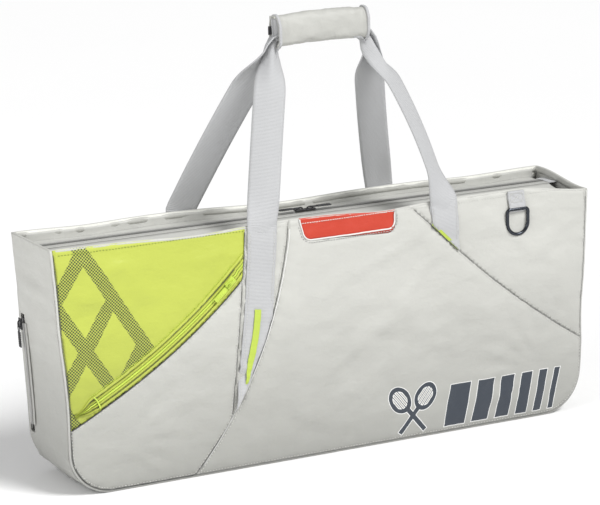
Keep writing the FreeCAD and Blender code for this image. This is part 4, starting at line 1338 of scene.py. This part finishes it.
def dress_seam_gaps():
    """Painted shadow lines: thin dark and grey cords in each seam's gap; a pale cord beside the centre seam,
    whose paleness is a painted highlight on its folded edge; and the corded edge of the inset.
    """
    # Each cord is a painted shadow, laid along the gap between two panels.
    for name, finish, radius, nodes in (
            ("seam_gaps", "seam_shadow", 0.32, ("lime_pocket_panel", "lower_left_panel")),
            ("seam_shade_lines", "seam_shade_grey", 0.30, ("centre_panel", "right_panel"))):
        bm = bmesh.new()
        for node in nodes:
            for loop in outline_loops(node, outside_front):
                for run in clip_run(inset_path(loop, 0.3 * MM, OUT_FRONT, 4 * MM),
                                    lambda p: p.z < RIM - 6 * MM):
                    points = [settled(point + OUT_FRONT * 1.0 * MM) for point in run]
                    sweep_into(bm, stations(points, [OUT_FRONT] * len(points)), round_section(radius * MM, 6))
        finish_piece(mesh_object(name, bm), "bag", finish_named(finish))
    front = front_surface()
    bm = bmesh.new()
    # Pale cord beside the centre seam: a painted highlight on the seam's folded edge.
    fold = [front_point(p.x + 2.2 * MM, p.z) for p in centre_seam() if 8 * MM < p.z < RIM - 8 * MM]
    laid = [front.at(point, 0.3 * MM)[0] for point in along(fold, 4 * MM)]
    sweep_into(bm, stations(laid, [OUT_FRONT] * len(laid)), round_section(0.75 * MM, 8))
    finish_piece(mesh_object("centre_seam_fold", bm), "bag", finish_named("pale_cord_and_fold_highlight"))
    bm = bmesh.new()
    for loop in outline_loops("red_inset", outside_front):
        for run in clip_run(inset_path(loop, 0.2 * MM, OUT_FRONT, 2.5 * MM), lambda p: p.z < RIM - 1 * MM):
            laid = [front.at(point, 0.9 * MM)[0] for point in run]
            sweep_into(bm, stations(laid, [OUT_FRONT] * len(laid)), round_section(1.0 * MM, 8))
    cord = mesh_object("inset_cord", bm)
    finish_piece(cord, "bag", finish_named("pale_cord_and_fold_highlight"))


def side_frame():
    """The side zip's own directions: down it, and out of the gusset."""
    joint = next(j for j in frame["joints"] if j["name"] == "side_slider_travel")
    down = Vector(joint["axis"]).normalized()
    return down, Vector((down.z, 0, -down.x)).normalized()


def dress_side_zip():
    """The stiff, flat zip on the left gusset."""
    gusset = Surface(["left_gusset_cloth"], Vector((-1, 0, 0)))
    low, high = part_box("side_zip_coil")
    middle = (low.y + high.y) / 2
    top, foot = Vector((-HALF_LENGTH, middle, high.z)), Vector((-HALF_LENGTH, middle, low.z))
    laid = [gusset.nearest(top.lerp(foot, i / 40))[0] for i in range(41)]
    line = [sum(laid[max(0, i - 6):i + 7], Vector()) / len(laid[max(0, i - 6):i + 7]) for i in range(41)]
    out = -side_frame()[1] if side_frame()[1].x > 0 else side_frame()[1]
    for node, name, finish, slot, strips in (
            ("side_zip_tapes", "side_zip_tape_web", "zip_web", "zip_grey",
             ((-4.6 * MM, 8.0 * MM, 0.6 * MM, 0.4 * MM), (4.6 * MM, 8.0 * MM, 0.6 * MM, 0.4 * MM))),
            ("side_zip_coil", "side_zip_coil_cord", "grey_coil", "coil_grey",
             ((0.0, 5.0 * MM, 1.8 * MM, 1.4 * MM),))):
        bm = bmesh.new()
        for shift, width, thickness, lift in strips:
            points = [point + Vector((0, shift, 0)) + out * (lift + 0.6 * MM) for point in line]
            sweep_into(bm, stations(points, [out] * len(points)), flat_section(width, thickness, 6))
        finish_piece(mesh_object(name, bm), "bag", finish_named(finish), [node])


def zip_frame(name):
    """Where a slider sits and which way its pull lies, from its pull's own hinge."""
    joint = next(j for j in frame["joints"] if j["name"] == f"{name}_pull_swing")
    pin, axis = Vector(joint["pos_m"]), Vector(joint["axis"]).normalized()
    out = {"main_left": UP, "main_right": UP, "pocket": OUT_FRONT, "side": side_frame()[1]}[name]
    if name == "side" and out.x > 0:
        out = -out
    forward = out.cross(axis).normalized()
    if forward.cross(out).dot(axis) < 0:
        forward = -forward
    across = out.cross(forward)
    shift = Vector() if name.startswith("main") else settled(pin) - pin
    turn = Matrix((forward, across, out)).transposed().to_4x4()
    return Matrix.Translation(pin + shift) @ turn


def block(bm, size, centre, bevel, segments=3):
    """A bevelled block in a slider's own frame."""
    place = Matrix.Translation(centre) @ Matrix.Diagonal((*size, 1))
    made = bmesh.ops.create_cube(bm, size=1.0, matrix=place)
    edges = {edge for vert in made["verts"] for edge in vert.link_edges}
    made = bmesh.ops.bevel(bm, geom=list(edges), offset=bevel, segments=segments, profile=0.5, affect="EDGES",
                           material=-1)
    return made


def slider_and_pull(name, finish, pull_finish):
    """A slider with its crown, and the pull on its pin."""
    place = zip_frame(name)
    pivot = 6.2 * MM
    bm = bmesh.new()
    for low, thickness in ((-1.8 * MM, 1.5 * MM), (2.9 * MM, 1.5 * MM)):
        block(bm, (14 * MM, 9 * MM, thickness), (0, 0, low + thickness / 2 - pivot), 0.6 * MM)
    block(bm, (5 * MM, 1.0 * MM, 3.4 * MM), (4 * MM, 0, 1.4 * MM - pivot), 0.2 * MM, 1)
    arch = [Vector((4.2 * MM * math.cos(a), 0, 2.1 * MM * math.sin(a) - 1.6 * MM))
            for a in [math.pi * i / 12 for i in range(13)]]
    frames = stations(arch, [Vector((0, 1, 0))] * len(arch))
    sweep_into(bm, frames, flat_section(2.0 * MM, 1.0 * MM, 3))
    bmesh.ops.transform(bm, matrix=place, verts=bm.verts)
    thing = mesh_object(f"{name}_zip_slider", bm)
    finish_piece(thing, f"{name}_slider", finish_named(finish), [f"{name}_slider"])
    bm = bmesh.new()
    link = [Vector((5.0 * MM + 5.2 * MM * math.cos(a), 2.4 * MM * math.sin(a), 0))
            for a in [math.tau * i / 24 for i in range(24)]]
    frames = [(p, UP, (p - Vector((5 * MM, 0, 0))).normalized()) for p in link]
    sweep_into(bm, frames, round_section(0.65 * MM, 8), ring=True)
    block(bm, (20 * MM, 6.6 * MM, 1.6 * MM), (19.5 * MM, 0, 0), 0.7 * MM)
    block(bm, (13 * MM, 4.2 * MM, 2.0 * MM), (21 * MM, 0, 0), 0.5 * MM)
    for index in range(4):
        block(bm, (0.8 * MM, 4.4 * MM, 2.6 * MM), ((17 + 2.6 * index) * MM, 0, 0), 0.2 * MM, 1)
    bmesh.ops.transform(bm, matrix=place, verts=bm.verts)
    thing = mesh_object(f"{name}_zip_pull", bm)
    finish_piece(thing, f"{name}_pull", finish_named(pull_finish), [f"{name}_pull"])


def dress_sliders():
    for name in ("main_left", "main_right", "side"):
        slider_and_pull(name, "black_enamel", "black_moulding")
    slider_and_pull("pocket", "lime_moulding", "lime_moulding")


# ---------------------------------------------------------------- ring, print, stitching
def dress_ring():
    """The ring's web loop, folded round its straight bar, and the ring itself."""
    low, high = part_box("dring_tab")
    joint = next(j for j in frame["joints"] if j["name"] == "dring_swing")
    pin = Vector(joint["pos_m"])
    middle, radius = (low.x + high.x) / 2, 3.4 * MM
    profile = [Vector((middle, FRONT_Y - 2.4 * MM, RIM - 1 * MM)),
               Vector((middle, FRONT_Y - 3.4 * MM, RIM - 9 * MM)),
               Vector((middle, pin.y - radius * 0.8, pin.z + 5 * MM))]
    for index in range(9):
        angle = math.pi + math.pi * index / 8
        profile.append(Vector((middle, pin.y + radius * math.cos(angle), pin.z + radius * math.sin(angle))))
    profile += [Vector((middle, FRONT_Y - 1.4 * MM, pin.z + 6 * MM)),
                Vector((middle, FRONT_Y - 1.2 * MM, RIM - 2 * MM))]
    points = along(profile, 2 * MM)
    frames = []
    for index, point in enumerate(points):
        ahead, behind = points[min(index + 1, len(points) - 1)], points[max(index - 1, 0)]
        tangent = (ahead - behind).normalized()
        side = Vector((1, 0, 0))
        shift = settled(front_point(middle, RIM)) - front_point(middle, RIM)
        frames.append((point + shift, side, side.cross(tangent).normalized()))
    tab = sweep("ring_tab_web", frames, flat_section(high.x - low.x, 1.5 * MM, 6))
    finish_piece(tab, "bag", finish_named("strap_web"), ["dring_tab"])
    low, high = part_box("dring")
    wire = 2.2 * MM
    half = (high.x - low.x) / 2 - wire
    bend = Vector((pin.x, pin.y, low.z + wire + half))
    outline = [bend + Vector((half * math.cos(a), 0, half * math.sin(a)))
               for a in [math.pi + math.pi * i / 20 for i in range(21)]]
    for side in (1, -1):
        corner = Vector((pin.x + side * (half - 4 * MM), pin.y, pin.z - 4 * MM))
        turns = [math.pi / 2 * i / 5 for i in range(6)]
        if side < 0:
            turns.reverse()
        outline += [corner + Vector((side * 4 * MM * math.cos(a), 0, 4 * MM * math.sin(a))) for a in turns]
    frames = []
    for index, point in enumerate(outline):
        tangent = (outline[(index + 1) % len(outline)] - outline[index - 1]).normalized()
        frames.append((point, tangent.cross(OUT_FRONT), OUT_FRONT))
    ring = sweep("d_ring", frames, round_section(wire, 14), ring=True)
    finish_piece(ring, "dring", finish_named("plated"), ["dring"])
    keep_node("base_board", "board")


def clip_run(points, keeps):
    """Split a path into the runs that pass a test."""
    runs, current = [], []
    for point in points:
        if keeps(point):
            current.append(point)
        elif current:
            runs.append(current)
            current = []
    return [run for run in [*runs, current] if len(run) > 2]


def dress_stitching():
    """Topstitching beside every seam, along the hem, and on the straps."""
    step = bpy.context.scene.racket_bag_cloth.stitch
    front = front_surface()
    below = RIM - 9 * MM
    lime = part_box("lime_pocket_panel")[1].x
    runs = []
    for node in FRONT_PANELS[1:-1]:
        for loop in outline_loops(node, outside_front):
            runs += clip_run(inset_path(loop, 2.6 * MM, OUT_FRONT, step), lambda p: p.z < below)
    hem = [front_point(x * MM, RIM - 7 * MM) for x in range(-366, 367, 4)]
    runs.append([point for point in hem if point.x > lime])
    stitches("front_stitching", runs, front, "bag")
    stitches("pocket_hem_stitching", [[point for point in hem if point.x < lime]], front, "bag",
             "olive_thread",
             0.5 * MM)
    low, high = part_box("red_inset")
    row = [front_point(low.x + (high.x - low.x) * (0.03 + 0.94 * i / 40), RIM - 6.5 * MM) for i in range(41)]
    stitches("inset_stitching", [row], front, "bag", "red_thread", 0.5 * MM)
    outer = [run for loop in outline_loops("red_inset", outside_front)
             for run in clip_run(inset_path(loop, -3.4 * MM, OUT_FRONT, 3.4 * MM),
                                 lambda p: p.z < RIM - 8 * MM)]
    # Short dark grey ticks along the right edge: painted shadows of the binding's small puckers, laid as
    # stitches.
    ticks = []
    for index in range(34):
        z = (22 + 4.6 * index) * MM
        x = HALF_LENGTH - 14 * MM * (1 - z / RIM) - 4 * MM
        if z > 58 * MM:
            ticks.append([front_point(x - 3.5 * MM, z - 1.5 * MM), front_point(x + 0.5 * MM, z + 1.5 * MM)])
    stitches("inset_edge_stitching_and_pucker_shadows", outer + ticks, front, "bag", "grey_thread_and_pucker_shade", 0.5 * MM)
    back = Surface(["back_panel_cloth"], OUT_BACK)
    runs = []
    for loop in outline_loops("back_panel", outside_back):
        runs += clip_run(inset_path(loop, 2.6 * MM, OUT_BACK, step), lambda p: p.z < below)
    runs.append([Vector((x * MM, BACK_Y, RIM - 8 * MM)) for x in range(-366, 367, 4)])
    stitches("back_stitching", runs, back, "bag")
    dress_strap_stitching()


def box_rows(x, top, foot, half, y, step):
    """A sewn rectangle with a cross in it."""
    corners = [Vector((x - half, y, top)), Vector((x + half, y, top)), Vector((x + half, y, foot)),
               Vector((x - half, y, foot))]
    rows = [along([a, b], step) for a, b in zip(corners, corners[1:] + corners[:1])]
    rows.append(along([corners[0], corners[2]], step))
    rows.append(along([corners[1], corners[3]], step))
    return rows


def dress_strap_stitching():
    """Boxes and long rows of stitches that hold the straps' ends and the ring's tab."""
    step = 3.2 * MM
    runs = []
    for side in ("left", "right"):
        low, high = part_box(f"rear_{side}_strap_anchor")
        middle = (low.x + high.x) / 2
        edge = (high.x - low.x) / 2 - 3 * MM
        runs += box_rows(middle, low.z + 36 * MM, low.z + 4 * MM, edge, BACK_Y, step)
        for x in (middle - edge, middle + edge):
            runs.append(along([Vector((x, BACK_Y, high.z - 12 * MM)),
                               Vector((x, BACK_Y, low.z + 40 * MM))], step))
    webs = Surface(["back_panel_cloth", "rear_left_anchor_web", "rear_right_anchor_web"], OUT_BACK)
    stitches("rear_strap_stitching", runs, webs, "bag", "thread")
    runs = [along(left_strap_line(-16 * MM), step)[3:], along(left_strap_line(16 * MM), step)[3:32]]
    low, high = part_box("front_right_strap_anchor")
    for x in (low.x + 3 * MM, high.x - 3 * MM):
        runs.append(along([front_point(x, RIM - 10 * MM), front_point(x, right_seam_z(x) + 9 * MM)], step))
    tab_low, tab_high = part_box("dring_tab")
    runs += box_rows((tab_low.x + tab_high.x) / 2, RIM - 4 * MM, RIM - 15 * MM, 9 * MM, FRONT_Y, 2.6 * MM)
    names = [f"{node}_cloth" for node in FRONT_PANELS]
    names += ["front_left_anchor_web", "front_right_anchor_web", "ring_tab_web"]
    webs = Surface(names, OUT_FRONT)
    stitches("front_strap_stitching", runs, webs, "bag", "thread")


# ---------------------------------------------------------------- stage
def build_stage():
    """The floor, the light and the camera."""
    stage = bpy.context.scene.racket_bag_stage
    bm = bmesh.new()
    bmesh.ops.create_grid(bm, x_segments=1, y_segments=1, size=FLOOR_HALF)
    floor = mesh_object("floor", bm)
    paint = Finish("floor_paint", tuple(stage.floor), 0.9)
    paint.put(paint.shader.inputs["Base Color"], paint.vary(0.008, 0.7))
    floor.data.materials.append(paint.material)
    world = bpy.data.worlds.new("studio")
    world.use_nodes = True
    world.node_tree.nodes["Background"].inputs["Color"].default_value = (1.0, 1.0, 1.0, 1)
    world.node_tree.nodes["Background"].inputs["Strength"].default_value = stage.sky
    bpy.context.scene.world = world
    bpy.context.scene.view_settings.view_transform = "Standard"
    for name, kind, spot, strength in (("key", "SUN", (1.1, -1.9, 2.6), stage.key),
                                       ("fill", "AREA", (-2.4, -0.9, 1.4), stage.fill)):
        data = bpy.data.lights.new(name, kind)
        data.energy = strength
        if kind == "SUN":
            data.angle = math.radians(24)
        else:
            data.size = 1.2
        light = bpy.data.objects.new(name, data)
        light.location = spot
        aim = Vector((0, 0, 0.2)) - Vector(spot)
        light.rotation_euler = aim.to_track_quat("-Z", "Y").to_euler()
        bpy.context.scene.collection.objects.link(light)
    yaw, pitch, roll = [math.radians(angle) for angle in CAMERA_TURN]
    ahead = Vector((math.sin(yaw) * math.cos(pitch), math.cos(yaw) * math.cos(pitch), math.sin(pitch)))
    level = Vector((math.cos(yaw), -math.sin(yaw), 0))
    head = level.cross(ahead)
    right = level * math.cos(roll) + head * math.sin(roll)
    up = head * math.cos(roll) - level * math.sin(roll)
    data = bpy.data.cameras.new("main_view")
    data.sensor_width = 36
    data.lens = CAMERA_LENS
    data.clip_start = 0.05
    camera = bpy.data.objects.new("main_view", data)
    turn = Matrix((right, up, -ahead)).transposed().to_4x4()
    camera.matrix_world = Matrix.Translation(CAMERA_PLACE) @ turn
    bpy.context.scene.collection.objects.link(camera)
    bpy.context.scene.camera = camera


# ---------------------------------------------------------------- operators
class RACKETBAG_OT_shell(bpy.types.Operator):
    """Sew the front, back, sides and base"""
    bl_idname = "racketbag.shell"
    bl_label = "Shell panels"

    def execute(self, context):
        dress_front()
        dress_back_and_sides()
        dress_seam_gaps()
        return {"FINISHED"}


class RACKETBAG_OT_inside(bpy.types.Operator):
    """Lay the foam and linings"""
    bl_idname = "racketbag.inside"
    bl_label = "Foam and linings"

    def execute(self, context):
        dress_inside()
        return {"FINISHED"}


class RACKETBAG_OT_edges(bpy.types.Operator):
    """Roll the hem and cord the seams"""
    bl_idname = "racketbag.edges"
    bl_label = "Hem and corded seams"

    def execute(self, context):
        dress_rim()
        dress_piping()
        return {"FINISHED"}


class RACKETBAG_OT_straps(bpy.types.Operator):
    """Sew on the webbing and raise the straps"""
    bl_idname = "racketbag.straps"
    bl_label = "Straps"

    def execute(self, context):
        dress_anchors()
        dress_legs()
        return {"FINISHED"}


class RACKETBAG_OT_handle(bpy.types.Operator):
    """Wrap the handle"""
    bl_idname = "racketbag.handle"
    bl_label = "Handle wrap"

    def execute(self, context):
        dress_wrap()
        dress_wrap_flap()
        return {"FINISHED"}


class RACKETBAG_OT_closure(bpy.types.Operator):
    """Close the mouth with its cloth strips and zip"""
    bl_idname = "racketbag.closure"
    bl_label = "Mouth closure"

    def execute(self, context):
        dress_closure()
        return {"FINISHED"}


class RACKETBAG_OT_zips(bpy.types.Operator):
    """Set the pocket and side zips, and every slider and pull"""
    bl_idname = "racketbag.zips"
    bl_label = "Pocket and side zips"

    def execute(self, context):
        dress_pocket_zip()
        dress_side_zip()
        dress_sliders()
        return {"FINISHED"}


class RACKETBAG_OT_ring(bpy.types.Operator):
    """Hang the ring in its web loop"""
    bl_idname = "racketbag.ring"
    bl_label = "Ring and tab"

    def execute(self, context):
        dress_ring()
        return {"FINISHED"}


class RACKETBAG_OT_stitching(bpy.types.Operator):
    """Topstitch the seams, hem and straps"""
    bl_idname = "racketbag.stitching"
    bl_label = "Stitching"

    def execute(self, context):
        dress_stitching()
        return {"FINISHED"}


class RACKETBAG_OT_stage(bpy.types.Operator):
    """Set the floor, lights and camera"""
    bl_idname = "racketbag.stage"
    bl_label = "Stage"

    def execute(self, context):
        build_stage()
        return {"FINISHED"}


OPERATORS = (RACKETBAG_OT_stage, RACKETBAG_OT_shell, RACKETBAG_OT_inside, RACKETBAG_OT_edges,
             RACKETBAG_OT_straps, RACKETBAG_OT_handle, RACKETBAG_OT_closure, RACKETBAG_OT_zips,
             RACKETBAG_OT_ring, RACKETBAG_OT_stitching)


class RACKETBAG_PT_panel(bpy.types.Panel):
    """Lists the steps that dress the bag"""
    bl_idname = "RACKETBAG_PT_panel"
    bl_label = "Racket bag"
    bl_space_type = "VIEW_3D"
    bl_region_type = "UI"
    bl_category = "Racket bag"

    def draw(self, context):
        for operator in OPERATORS:
            self.layout.operator(operator.bl_idname)


SETTINGS = {"racket_bag_cloth": RacketBagCloth, "racket_bag_trim": RacketBagTrim,
            "racket_bag_stage": RacketBagStage}


def register():
    for name, group in SETTINGS.items():
        bpy.utils.register_class(group)
        setattr(bpy.types.Scene, name, bpy.props.PointerProperty(type=group))
    for item in (*OPERATORS, RACKETBAG_PT_panel):
        bpy.utils.register_class(item)


def unregister():
    for item in reversed((*OPERATORS, RACKETBAG_PT_panel)):
        bpy.utils.unregister_class(item)
    for name, group in SETTINGS.items():
        delattr(bpy.types.Scene, name)
        bpy.utils.unregister_class(group)


def main():
    """Register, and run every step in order."""
    register()
    for operator in OPERATORS:
        group, step = operator.bl_idname.split(".")
        getattr(getattr(bpy.ops, group), step)()


if __name__ == "__main__":
    main()
